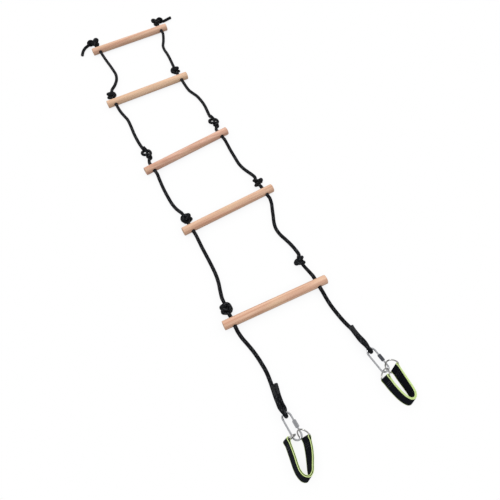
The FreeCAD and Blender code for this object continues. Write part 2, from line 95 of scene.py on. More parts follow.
# Rope from rung n + 1 to rung n. ("bend", x) is the point at x on rung n's knot-side bending line.
SPANS = {
    "left": {
        4: [(-106.5, 745, 12), (-104, 715, 7.8), (-101.5, 680, FZ), (-100, 640, FZ),
            (-100.5, 603, FZ), (-110, 569, FZ), (-131, 532, 11), ("bend", -157.0)],
        3: [(-172.3, 350, 12), (-167, 320, 7.8), (-162, 289, FZ), (-164.5, 240, FZ),
            (-169, 194, FZ), (-170.8, 145, FZ), (-170.2, 110, 9.5), ("bend", -167.5)],
        2: [(-173.2, -100, 12.5), (-175.5, -126, 7.8), (-177.5, -152, FZ), (-179, -204, FZ),
            (-178.3, -240, FZ), (-174.5, -268, 9), (-170, -288, 13.5), ("bend", -165.5)],
        1: [(-161, -450, 12), (-162.5, -480, 7.8), (-163.5, -512, FZ), (-166, -572, FZ),
            (-169.5, -612, FZ), (-175.5, -643, 10), ("bend", -184.5), (-193, -705, 17)],
    },
    "right": {
        4: [(213.5, 742, 12), (200, 713, 7.8), (184.5, 682, FZ), (178.5, 650, FZ),
            (178, 616, FZ), (174, 570, FZ), (167.5, 527, 10), ("bend", 161.5)],
        3: [(157.2, 345, 12), (160, 318, 7.8), (168, 290, FZ), (175.2, 266, FZ), (179, 230, FZ),
            (179, 195, FZ), (174, 155, FZ), (168.8, 125, 10.5), ("bend", 166.8)],
        2: [(157.8, -75, 12), (155.7, -106, 7.8), (153, -150, FZ), (151, -194, FZ),
            (155.5, -225, FZ), (163, -251, 8), (168.3, -276, 13), ("bend", 170.0)],
        1: [(164.5, -440, 12), (155, -462, 7.8), (142.5, -490, FZ), (128, -522, FZ),
            (121.2, -548, FZ), (121.8, -578, FZ), (128, -606, FZ), (133, -632, 8),
            (134.8, -662, 12.5), ("bend", 132.5)],
    },
}
LEADS = {                           # from rung 1 to the quick link
    "left": [(-200.5, -866, 12), (-194.5, -893, 7.8), (-189, -925, FZ), (-186, -962, FZ),
             (-185.8, -1005, FZ), (-190, -1036, FZ), (-195, -1062, 8), (-200, -1085, 9.2),
             (-203.5, -1105, 15), (-206.8, -1124, 23.5)],
    "right": [(125.2, -887, 12), (125.5, -917, 7.8), (128, -958, FZ), (131, -985, FZ),
              (133.5, -1003, 9.5), (135.4, -1022, 15.0), (136.3, -1045, 15.4),
              (137.0, -1070, 17.5), (139.4, -1092, 24.5)],
}
RETURNS = {                         # short end sewn back along the lead
    "left": [(-193.4, -1131, FZ), (-192.6, -1113, FZ), (-190.0, -1096, FZ),
             (-186.6, -1080, FZ), (-182.6, -1066, FZ), (-179.2, -1052, FZ)],
    "right": [(148.6, -1095, FZ), (149.4, -1078, FZ), (145.4, -1055, FZ),
              (143.4, -1035, FZ), (143.0, -1022, FZ), (143.6, -1012, FZ)],
}
# (side, rung): (x, y, shape, side the lobes point to, lift)
KNOTS = {
    ("left", 1): (-198.5, -748, "ROUND", 1, 0.5),
    ("left", 2): (-159.5, -338.0, "ROUND", -1, 0.0),
    ("left", 3): (-166, 52, "OPEN", -1, -2.5),
    ("left", 4): (-171, 465.5, "ROUND", 1, 0.0),
    ("left", 5): (-114, 874, "DOUBLE", 1, 3.5),
    ("right", 1): (123.5, -717, "FLAT", -1, 0.0),
    ("right", 2): (167, -322, "FLAT", 1, 0.0),
    ("right", 3): (165.5, 71, "OPEN", -1, -2.5),
    ("right", 4): (158, 470, "ROUND", -1, 0.0),
    ("right", 5): (230, 865, "DOUBLE", -1, 3.5),
}
KNOT_CLEARANCE = 5.0                # plain rope points this close to a knot's reach are left out


def with_half_turn(half, shared_middle):
    """Completes a knot with its own half turned 180 degrees about x."""
    rest = half[:-1] if shared_middle else half
    return half + [(x, -y, -z) for x, y, z in reversed(rest)]


# Centre lines of tied knots: x across, y along the rope, z up, with the standing rope
# leaving along y at both ends.
KNOT_SHAPES = {
    "FLAT": with_half_turn([
        (0, -17, 0), (-1, -14.8, 1.8), (-2, -12.6, 3.7), (-3.2, -10.5, 5.5), (-4.5, -8.5, 7.3),
        (-6.3, -6.5, 8.7), (-8.4, -4.6, 9.8), (-10.9, -2.9, 10.1), (-13.4, -1.3, 9.8),
        (-15.8, 0.2, 8.7), (-18, 1.6, 7.1), (-19.7, 3, 5.1), (-21.2, 4.4, 2.9),
        (-23.2, 5.2, 0.8), (-25.4, 5.1, -1.3), (-27.2, 4.1, -3.5), (-28.7, 2.4, -5.5),
        (-29.5, 0.2, -7.3), (-29.7, -2.5, -8.7), (-29.2, -5.3, -9.5), (-28, -8.1, -9.9),
        (-26.2, -10.5, -9.7), (-24, -12.4, -9), (-21.4, -13.5, -7.9), (-18.7, -13.9, -6.6),
        (-16.1, -13.3, -5.2), (-13.9, -11.9, -3.9), (-12.1, -9.8, -2.6), (-10.8, -7.3, -1.6),
        (-10.1, -4.4, -0.9), (-9.8, -1.5, -0.3),
    ], shared_middle=False),
    "OPEN": [
        (0, -36.5, 0), (0.1, -33.7, 1), (0.9, -31.1, 2.2), (1.8, -28.5, 3.5), (2.8, -25.9, 4.6),
        (3.7, -23.2, 5.2), (4.6, -20.3, 5.5), (5.3, -17.4, 5.4), (5.9, -14.5, 4.9),
        (6.2, -11.7, 4), (6.4, -9, 2.8), (6.3, -6.3, 1.4), (6, -3.8, -0.1), (5.4, -1.4, -1.8),
        (4.4, 0.8, -3.5), (3.2, 3, -5.2), (2.1, 5.5, -6.4), (1.2, 8.3, -6.9), (0.8, 11.2, -6.8),
        (0.8, 14.1, -6), (1.3, 16.7, -4.7), (2.3, 18.9, -2.8), (3.7, 20.3, -0.7),
        (5.5, 21.1, 1.5), (7.7, 21.3, 3.5), (10.1, 20.7, 5.2), (12.4, 19.4, 6.5),
        (14.6, 17.5, 7.4), (16.3, 15.1, 7.7), (17.6, 12.4, 7.5), (18.4, 9.7, 6.6), (18.6, 7, 5.4),
        (18.8, 4.3, 4.1), (18.9, 1.6, 2.8), (18.8, -1.2, 1.6), (18.7, -3.9, 0.4),
        (18.2, -6.7, -0.6), (17.6, -9.4, -1.6), (16.5, -12.1, -2.6), (15.1, -14.6, -3.4),
        (13.3, -16.8, -4.2), (11.2, -18.7, -4.9), (8.6, -20.2, -5.5), (5.9, -21.3, -5.8),
        (2.9, -21.9, -5.8), (0, -22.1, -5.6), (-2.9, -21.7, -4.9), (-5.7, -20.9, -4.1),
        (-8.2, -19.6, -3.2), (-10.4, -17.8, -2.3), (-12.3, -15.7, -1.4), (-13.7, -13.2, -0.5),
        (-14.7, -10.5, 0.4), (-15.3, -7.7, 1.2), (-15.3, -4.8, 2), (-14.9, -1.9, 2.7),
        (-14, 0.8, 3.4), (-12.6, 3.4, 4.1), (-10.8, 5.7, 4.7), (-8.6, 7.6, 5.3), (-6.1, 9.1, 5.7),
        (-3.3, 10.1, 5.8), (-0.3, 10.6, 5.6), (2.6, 10.5, 4.8), (5.2, 10.3, 3.5), (7.7, 10.3, 1.8),
        (9.7, 11.1, -0.2), (11.4, 12.6, -2.2), (12.7, 14.7, -3.8), (13.5, 17.3, -5.1),
        (13.7, 20.2, -5.9), (13.2, 23.1, -6.2), (12.1, 25.9, -6), (10.5, 28.3, -5.3),
        (8.4, 30.2, -4.3), (6.1, 31.5, -3), (3.7, 32.7, -1.7), (1.3, 34, -0.5), (0, 36.5, 0),
    ],
    "DOUBLE": with_half_turn([
        (0, -22, 0), (-0.1, -19.2, 1.1), (0.5, -16.3, 1.7), (1.5, -13.5, 2.2), (2.3, -10.7, 2.8),
        (2.5, -7.8, 3.5), (2.2, -4.9, 4.3), (1.6, -2, 5), (0.7, 0.8, 5.5), (-0.6, 3.5, 5.8),
        (-2.4, 5.9, 5.7), (-4.4, 8, 5), (-6.3, 10, 3.9), (-8.2, 12.2, 3), (-10.6, 14, 2.7),
        (-13.3, 15.3, 2.9), (-16.1, 16, 3.4), (-19, 15.8, 4.2), (-21.8, 14.9, 5),
        (-24.1, 13.3, 5.9), (-25.9, 10.9, 6.5), (-26.9, 8.1, 6.9), (-27.3, 5.2, 6.9),
        (-26.9, 2.2, 6.6), (-25.8, -0.4, 5.9), (-24.2, -2.7, 4.7), (-22.2, -4.3, 3.1),
        (-20.2, -5.2, 1.1), (-18.4, -5.5, -1.3), (-17.1, -5.6, -4), (-16.1, -6, -6.8),
        (-15, -7.2, -9.4), (-13.6, -8.7, -11.5), (-11.7, -10.5, -13), (-9.3, -12.2, -13.7),
        (-6.8, -13.7, -13.7), (-4.1, -15, -13), (-1.6, -15.7, -11.7), (1, -16.3, -10.3),
        (3.6, -16.8, -8.8), (6.1, -17.4, -7.2), (8.2, -17.9, -5.2), (9.7, -18.5, -2.7),
        (10.5, -19, 0.1), (10.6, -19.2, 3.1), (9.8, -19, 6), (8.4, -18.5, 8.6),
        (6.4, -17.5, 10.6), (4, -16.3, 12), (1.5, -14.9, 12.6), (-1.1, -13.3, 12.5),
        (-3.4, -11.6, 11.7), (-5.4, -9.9, 10.2), (-6.9, -8, 8.5), (-8.1, -6, 6.5),
        (-8.8, -4, 4.5), (-9, -1.9, 2.4), (-9, 0, 0),
    ], shared_middle=True),
    "ROUND": with_half_turn([
        (0, -17, 0), (1.8, -14.8, 0.9), (3.2, -12.3, 1.9), (4.3, -9.8, 3), (4.9, -7.1, 4.3),
        (4.7, -4.4, 5.5), (4.1, -1.7, 6.7), (2.8, 0.8, 7.6), (0.8, 2.9, 8.4), (-1.6, 4.7, 8.7),
        (-4.3, 5.9, 8.6), (-7.1, 6.7, 8), (-9.9, 6.8, 6.8), (-12.3, 6.6, 5.1), (-14.2, 6, 2.9),
        (-15.7, 5.4, 0.4), (-17.5, 4.8, -1.9), (-19.6, 3.7, -3.8), (-21.5, 1.9, -5.1),
        (-23.1, -0.5, -6), (-24.1, -3.3, -6.3), (-24.5, -6.2, -6.1), (-24.1, -9.1, -5.4),
        (-23.1, -11.7, -4.3), (-21.5, -13.8, -2.9), (-19.4, -15.2, -1.3), (-16.9, -15.8, 0.3),
        (-14.3, -15.6, 1.8), (-11.8, -14.6, 2.9), (-9.5, -12.9, 3.7), (-7.6, -10.6, 4),
        (-6.2, -8, 3.8), (-5.4, -5.2, 2.9), (-5.2, -2.6, 1.6), (-5.2, 0, 0),
    ], shared_middle=True),
}
KNOT_SCALE = {                      # stretch of each shape in x, y, z
    "ROUND": (1.08, 1.05, 1.05), "FLAT": (1.18, 0.87, 1.0),
    "OPEN": (1.00, 1.04, 1.0), "DOUBLE": (1.08, 1.08, 0.95),
}

ROPE_CURVE_STEP = 1.2               # sampling of the rope curve
RING_STEP = 1.35                    # mesh ring spacing along a rope
AROUND = 40                         # mesh sides round a rope
CARRIERS = 8                        # strands running each way in the braid
DIAMOND = 7.2                       # length of one crossing along the rope
BRAID_INSET = 0.12                  # taken off the radius before the relief is added
MELTED_END = ((1.03, 0.5), (0.93, 1.5), (0.70, 2.3), (0.40, 2.75))  # (radius factor, outward)
MELTED_TIP = 2.9

# How far a rope piece runs past its bend, and a spread length for each bend.
KNOT_MARGIN, STRAP_MARGIN, BEND_SPREAD = 5.0, 7.0, 28.0
TAIL_MARGIN, TAIL_SPREAD = 4.0, 16.0

# side: (y of the first stitch, step in y)
EYE_SEWING = {"left": (-1055.0, -3.4), "right": (-1016.0, -3.6)}
EYE_STITCHES = 9                    # crossed pairs
EYE_THREAD_R = 0.62

WEB_WIDTH = 38.0
WEB_LIFT = 1.3                      # strap centre line above the edge heights in STRAPS
PLY = 2.9                           # thickness of one ply
HALF_GAP = 1.78                     # strap centre line to the middle of a ply
FOLD_R = 5.8 / 2 + 0.12 + PLY / 2   # middle of the ply round a D ring bar
FOLD_TAPER = [(11.0, 2.1), (7.0, 3.0), (3.2, 4.0)]      # (distance from the bar, offset)
# D ring bars at the two ends of each strap: (centre, direction of the bar)
RING_BARS = {
    "left": [((-237.8, -1213.9, 30.4), (0.3515, 0.0663, 0.9338)),
             ((-182.0, -1236.0, 24.8), (0.5000, -0.0695, 0.8632))],
    "right": [((129.4, -1210.4, 29.0), (0.4487, 0.0675, 0.8911)),
              ((175.8, -1199.3, 27.2), (0.5640, 0.2963, 0.7708))],
}
# strap centre line along the lower edge: x, y, edge height, lean x, lean y
STRAPS = {
    "left": [(-246.6, -1228.0, 9.0, 0.35, 0.06), (-249.5, -1245.0, 6.0, 0.36, 0.05),
             (-253.5, -1266.0, 3.5, 0.37, 0.04), (-257.5, -1288.0, 1.8, 0.36, 0.08),
             (-258.5, -1308.0, 0.8, 0.34, 0.16), (-253.5, -1327.0, 0.4, 0.33, 0.24),
             (-242.5, -1335.0, 0.4, 0.35, 0.23), (-231.5, -1328.0, 0.5, 0.40, 0.17),
             (-222.0, -1309.0, 0.9, 0.47, 0.10), (-212.0, -1288.0, 1.6, 0.53, 0.03),
             (-202.5, -1266.0, 3.0, 0.55, -0.02), (-196.5, -1249.5, 5.0, 0.53, -0.05)],
    "right": [(121.6, -1224.5, 8.0, 0.44, 0.06), (123.8, -1242.0, 5.0, 0.42, 0.05),
              (127.5, -1260.0, 3.0, 0.40, 0.05), (132.0, -1279.0, 1.6, 0.38, 0.08),
              (138.5, -1296.0, 0.8, 0.35, 0.16), (148.0, -1308.5, 0.4, 0.32, 0.22),
              (158.5, -1309.5, 0.4, 0.33, 0.22), (166.5, -1298.5, 0.6, 0.37, 0.20),
              (168.5, -1281.0, 1.2, 0.42, 0.18), (168.0, -1260.0, 2.4, 0.46, 0.20),
              (167.0, -1239.5, 4.0, 0.51, 0.24), (166.0, -1220.0, 6.5, 0.55, 0.28)],
}
SELVEDGE_R = 1.5                    # rounding of the webbing edges
WEB_STITCH_ROWS = (14.5, 19.5, 26.0)        # distances from each ring bar
WEB_STITCH_PITCH = 3.3
WEB_STITCH = [(0, -0.35), (0.35, 0.18), (1.3, 0.30), (2.2, 0.18), (2.55, -0.35)]  # (across, lift)


# ---------------------------------------------------------------------------- geometry
def to_metres(point):
    return np.array([(point[0] - ORIGIN[0]) * MM, (point[1] - ORIGIN[1]) * MM, point[2] * MM])


def unit(vector):
    length = math.sqrt(sum(c * c for c in vector))
    return tuple(c / length for c in vector)


def smoothstep(t):
    t = min(1.0, max(0.0, t))
    return t * t * (3 - 2 * t)


def arc_lengths(points):
    """Distance along a point path at every point."""
    steps = np.linalg.norm(np.diff(points, axis=0), axis=1)
    return np.concatenate([[0], np.cumsum(steps)])


def interpolate(where, stations, rows):
    """Every column of rows, read at one or many places along the stations."""
    columns = [np.interp(where, stations, rows[:, k]) for k in range(rows.shape[1])]
    return np.stack(columns, axis=-1)


def curve_segment(points, i, step):
    """Centripetal Catmull-Rom samples after point i up to point i + 1, kept above ground."""
    start, end = points[i], points[i + 1]
    before = points[i - 1] if i > 0 else tuple(2 * a - b for a, b in zip(start, end))
    after = points[i + 2] if i + 2 < len(points) else tuple(2 * b - a for a, b in zip(start, end))
    t = [0.0]
    for a, b in ((before, start), (start, end), (end, after)):
        t.append(t[-1] + max(math.dist(a, b), 1e-6) ** 0.5)
    count = max(2, int(math.dist(start, end) / step) + 1)
    samples = []
    for k in range(1, count + 1):
        now = t[1] + (t[2] - t[1]) * k / count

        def mix(a, b, low, high):
            return tuple(((t[high] - now) * x + (now - t[low]) * y) / (t[high] - t[low])
                         for x, y in zip(a, b))

        first, middle, last = mix(before, start, 0, 1), mix(start, end, 1, 2), mix(end, after, 2, 3)
        x, y, z = mix(mix(first, middle, 0, 2), mix(middle, last, 1, 3), 1, 2)
        samples.append((x, y, max(z, FLOOR_Z)))
    return samples


def catmull_rom(p0, p1, p2, p3, t):
    """Uniform Catmull-Rom point between p1 and p2."""
    return 0.5 * (2 * p1 + (p2 - p0) * t + (2 * p0 - 5 * p1 + 4 * p2 - p3) * t * t
                  + (3 * p1 - p0 - 3 * p2 + p3) * t ** 3)


def open_smooth(points, samples=4):
    """Uniform Catmull-Rom samples through an open path."""
    points = np.array(points, float)
    last = len(points) - 1
    out = [points[0]]
    for j in range(last):
        around = [points[min(max(k, 0), last)] for k in range(j - 1, j + 3)]
        out += [catmull_rom(*around, k / samples) for k in range(1, samples + 1)]
    return out


def closed_smooth(points, step, sample=0.4):
    """Even samples of a closed curve; the first three columns are its position."""
    count = len(points)
    fine = []
    for i in range(count):
        around = [points[(i + k) % count] for k in (-1, 0, 1, 2)]
        splits = max(2, int(np.linalg.norm(around[2][:3] - around[1][:3]) / sample))
        fine += [catmull_rom(*around, k / splits) for k in range(splits)]
    fine = np.array(fine + [fine[0]])
    lengths = arc_lengths(fine[:, :3])
    stations = np.linspace(0, lengths[-1], int(lengths[-1] / step) + 1)[:-1]
    return interpolate(stations, lengths, fine), stations, lengths[-1]


def frames_along(path):
    """Tangents, normals and binormals of a path, carried along without twisting."""
    tangents = np.zeros_like(path)
    tangents[1:-1] = path[2:] - path[:-2]
    tangents[0], tangents[-1] = path[1] - path[0], path[-1] - path[-2]
    tangents /= np.linalg.norm(tangents, axis=1)[:, None]
    normal = np.cross(tangents[0], (0, 0, 1.0))
    normal /= np.linalg.norm(normal)
    normals = [normal]
    for tangent in tangents[1:]:
        normal = normal - tangent * (normal @ tangent)
        normal /= np.linalg.norm(normal)
        normals.append(normal)
    normals = np.array(normals)
    return tangents, normals, np.cross(tangents, normals)


def squared_to(tangents, widths):
    """Unit tangents with their part along the width directions taken out."""
    tangents = tangents - widths * (tangents * widths).sum(1)[:, None]
    return tangents / np.linalg.norm(tangents, axis=1)[:, None]


# ------------------------------------------------------------------------ mesh helpers
def band(lower, upper, sides):
    """Quads between two vertex rings that start at the given indices."""
    faces = []
    for j in range(sides):
        after = (j + 1) % sides
        faces.append((lower + j, lower + after, upper + after, upper + j))
    return faces


def band_uvs(across, start, end):
    """UVs of a band; across holds one more value than the band has sides."""
    uvs = []
    for a, b in zip(across, across[1:]):
        uvs += [(a, start), (b, start), (b, end), (a, end)]
    return uvs


def fan(centre, ring, sides, flip):
    """Triangles that close a vertex ring."""
    faces = []
    for j in range(sides):
        a, b = ring + j, ring + (j + 1) % sides
        faces.append((centre, b, a) if flip else (centre, a, b))
    return faces


def mesh_object(name, verts, faces, materials, uv_maps=None, slots=None):
    mesh = bpy.data.meshes.new(name)
    mesh.from_pydata([tuple(v) for v in verts], [], faces)
    for material in materials:
        mesh.materials.append(material)
    for uv_name, uvs in (uv_maps or {}).items():
        layer = mesh.uv_layers.new(name=uv_name)
        layer.data.foreach_set("uv", np.array(uvs, np.float32).ravel())
    if slots is not None:
        mesh.polygons.foreach_set("material_index", np.array(slots, np.int32))
    mesh.polygons.foreach_set("use_smooth", [True] * len(mesh.polygons))
    mesh.update()
    made = bpy.data.objects.new(name, mesh)
    bpy.context.scene.collection.objects.link(made)
    return made


def thread_mesh(name, paths, radius, material, sides=8):
    """Round threads along several paths, closed at the ends, as one mesh."""
    verts, faces = [], []
    for path in paths:
        path = np.array(path, float)
        tangents, normals, binormals = frames_along(path)
        base = len(verts)
        for k in range(len(path)):
            for j in range(sides):
                angle = 2 * math.pi * j / sides
                outward = math.cos(angle) * normals[k] + math.sin(angle) * binormals[k]
                verts.append(to_metres(path[k] + outward * radius))
        for k in range(len(path) - 1):
            faces += band(base + k * sides, base + (k + 1) * sides, sides)
        for k, is_start in ((0, True), (len(path) - 1, False)):
            outward = -tangents[k] if is_start else tangents[k]
            faces += fan(len(verts), base + k * sides, sides, flip=is_start)
            verts.append(to_metres(path[k] + outward * radius * 0.6))
    return mesh_object(name, verts, faces, [material])


# ------------------------------------------------------------------------ shader nodes
def rgba(colour):
    """Opaque colour from (r, g, b) or one grey level; a socket passes through."""
    if isinstance(colour, bpy.types.NodeSocket):
        return colour
    if isinstance(colour, (int, float)):
        colour = (colour,) * 3
    return tuple(colour) + (1.0,)


class Graph:
    """Short calls for building a node tree."""

    def __init__(self, tree):
        self.tree = tree
        tree.nodes.clear()

    def node(self, kind, inputs=None, **settings):
        """A node with its settings; each input is linked to a socket or set to a value."""
        made = self.tree.nodes.new(kind)
        for key, value in settings.items():
            setattr(made, key, value)
        for key, value in (inputs or {}).items():
            if isinstance(value, bpy.types.NodeSocket):
                self.tree.links.new(value, made.inputs[key])
            else:
                made.inputs[key].default_value = value
        return made

    def math(self, operation, a, b=0.0, clamp=False):
        inputs = {0: a, 1: b, 2: 0.0}
        return self.node("ShaderNodeMath", inputs, operation=operation, use_clamp=clamp).outputs[0]

    def add(self, a, b, clamp=False):
        return self.math("ADD", a, b, clamp)

    def sub(self, a, b):
        return self.math("SUBTRACT", a, b)

    def mul(self, a, b):
        return self.math("MULTIPLY", a, b)

    def above(self, a, b):
        return self.math("GREATER_THAN", a, b)

    def below(self, a, b):
        return self.math("LESS_THAN", a, b)

    def fold(self, a):
        """1 at a = 0 and a = 1, falling to 0 half way."""
        return self.math("ABSOLUTE", self.sub(self.mul(a, 2.0), 1.0))

    def zigzag(self, a):
        return self.fold(self.math("FRACT", a))

    def weighted(self, a, weight_a, b, weight_b):
        return self.add(self.mul(a, weight_a), self.mul(b, weight_b))

    def distance(self, a, b):
        return self.math("SQRT", self.add(self.mul(a, a), self.mul(b, b)))

    def object_coords(self):
        return self.node("ShaderNodeTexCoord").outputs["Object"]

    def uv(self, name):
        """The x, y, z sockets of a UV map."""
        return self.separate(self.node("ShaderNodeUVMap", uv_map=name).outputs[0])

    def separate(self, vector):
        return self.node("ShaderNodeSeparateXYZ", {0: vector}).outputs

    def combine(self, x, y, z=0.0):
        return self.node("ShaderNodeCombineXYZ", {0: x, 1: y, 2: z}).outputs[0]

    def noise(self, vector, scale, detail=3.0, rough=0.55):
        inputs = {"Vector": vector, "Scale": scale, "Detail": detail, "Roughness": rough}
        return self.node("ShaderNodeTexNoise", inputs).outputs["Fac"]

    def mapped(self, vector, shift=(0, 0, 0), turn=(0, 0, 0), scale=(1, 1, 1)):
        inputs = {"Vector": vector, "Location": shift, "Rotation": turn, "Scale": scale}
        return self.node("ShaderNodeMapping", inputs).outputs[0]

    def ramp(self, factor, *stops):
        """Colour ramp from (position, colour or grey level) stops."""
        made = self.node("ShaderNodeValToRGB", {0: factor})
        elements = made.color_ramp.elements
        while len(elements) < len(stops):
            elements.new(0.5)
        for element, (position, colour) in zip(elements, stops):
            element.position = position
            element.color = rgba(colour)
        return made.outputs[0]

    def mask(self, factor, low, high):
        return self.ramp(factor, (low, 0), (high, 1))

    def mix(self, factor, a, b, mode="MIX"):
        inputs = {0: factor, 6: rgba(a), 7: rgba(b)}
        return self.node("ShaderNodeMix", inputs, data_type="RGBA", blend_type=mode).outputs[2]

    def bump(self, height, strength, distance):
        inputs = {"Height": height, "Strength": strength, "Distance": distance}
        return self.node("ShaderNodeBump", inputs).outputs[0]

    def surface(self, shader):
        self.node("ShaderNodeOutputMaterial", {0: shader.outputs[0]})

    def principled(self, inputs):
        self.surface(self.node("ShaderNodeBsdfPrincipled", inputs))


def new_material(name):
    material = bpy.data.materials.new(name)
    material.use_nodes = True
    return material, Graph(material.node_tree)


# --------------------------------------------------------------------------- materials
def rope_material(name, seed):
    """Black braid: two families of strands crossing in diamonds, a few of them grey."""
    material, net = new_material(name)
    # u runs 0..1 round the rope, v is the length in diamonds
    u, v, _ = net.uv("UVMap")
    a = net.add(net.mul(u, float(CARRIERS)), v)
    b = net.sub(net.mul(u, float(CARRIERS)), v)
    strand_a, strand_b = net.math("FLOOR", a), net.math("FLOOR", b)
    across_a, across_b = net.math("FRACT", a), net.math("FRACT", b)
    # which family is on top: 0 for a, 1 for b
    top = net.math("FLOORED_MODULO", net.add(strand_a, strand_b), 2.0)

    def every(strand, period):
        return net.below(net.math("FLOORED_MODULO", net.add(strand, 0.5), period), 1.0)

    grey = net.add(net.mul(every(strand_a, 4.0), net.sub(1.0, top)),
                   net.mul(every(strand_b, 8.0), top), clamp=True)
    across = net.add(net.mul(across_a, net.sub(1.0, top)), net.mul(across_b, top))
    edge = net.fold(across)
    # fine fibres along the strand on top
    along = net.mul(net.add(a, net.mul(b, -1.0)), 0.6)
    fibre = net.noise(net.combine(net.mul(across, 9.0), along, top),
                      scale=1.6, detail=4.0, rough=0.6)
    dust = net.noise(net.mapped(net.object_coords(), shift=(seed, seed * 2.0, 0)),
                     scale=34.0, rough=0.6)
    dark = net.ramp(fibre, (0.25, (0.0015, 0.0017, 0.0022)), (0.75, (0.009, 0.010, 0.0125)))
    light = net.ramp(fibre, (0.25, (0.035, 0.037, 0.042)), (0.75, (0.105, 0.110, 0.120)))
    colour = net.mix(net.mul(grey, 0.45), dark, light)
    # painted shade: the colour is darkened in the grooves between the strands
    groove_shade = net.ramp(edge, (0.62, 1), (1.0, 0.25))
    colour = net.mix(1.0, colour, groove_shade, "MULTIPLY")
    colour = net.mix(net.mul(net.mask(dust, 0.55, 0.8), 0.15), colour, (0.035, 0.035, 0.037))
    height = net.add(net.mul(fibre, 0.5), net.mul(net.sub(1.0, net.mul(edge, edge)), 0.8))
    net.principled({
        "Base Color": colour,
        "Roughness": net.ramp(fibre, (0.2, 0.62), (0.8, 0.44)),
        "Specular IOR Level": 0.10,
        "Sheen Weight": 0.02,
        "Sheen Roughness": 0.4,
        "Sheen Tint": (0.75, 0.82, 1.0, 1.0),
        "Normal": net.bump(height, strength=0.55, distance=0.0006),
    })
    return material


def end_material(name):
    """Melted, cut rope end: dark, slightly glossy, lumpy."""
    material, net = new_material(name)
    lumps = net.noise(net.object_coords(), scale=900.0, rough=0.6)
    net.principled({
        "Base Color": net.ramp(lumps, (0.3, (0.006, 0.006, 0.007)), (0.8, (0.045, 0.045, 0.05))),
        "Roughness": net.ramp(lumps, (0.3, 0.35), (0.8, 0.6)),
        "Normal": net.bump(lumps, strength=0.6, distance=0.0005),
    })
    return material


def thread_material(name, base):
    material, net = new_material(name)
    strands = net.noise(net.mapped(net.object_coords(), scale=(1.0, 3.0, 1.0)),
                        scale=1500.0, detail=2.0, rough=0.6)
    low = tuple(c * 0.55 for c in base)
    high = tuple(min(1.0, c * 1.6) for c in base)
    net.principled({
        "Base Color": net.ramp(strands, (0.3, low), (0.7, high)),
        "Roughness": net.ramp(strands, (0.3, 0.7), (0.7, 0.5)),
        "Sheen Weight": 0.2,
        "Normal": net.bump(strands, strength=0.5, distance=0.0003),
    })
    return material


# rung number: (lighter or darker, shift towards green)
WOOD_TONES = {1: (0.02, 0.0), 2: (0.0, 0.01), 3: (-0.035, -0.02), 4: (0.045, 0.03), 5: (0.01, 0.0)}


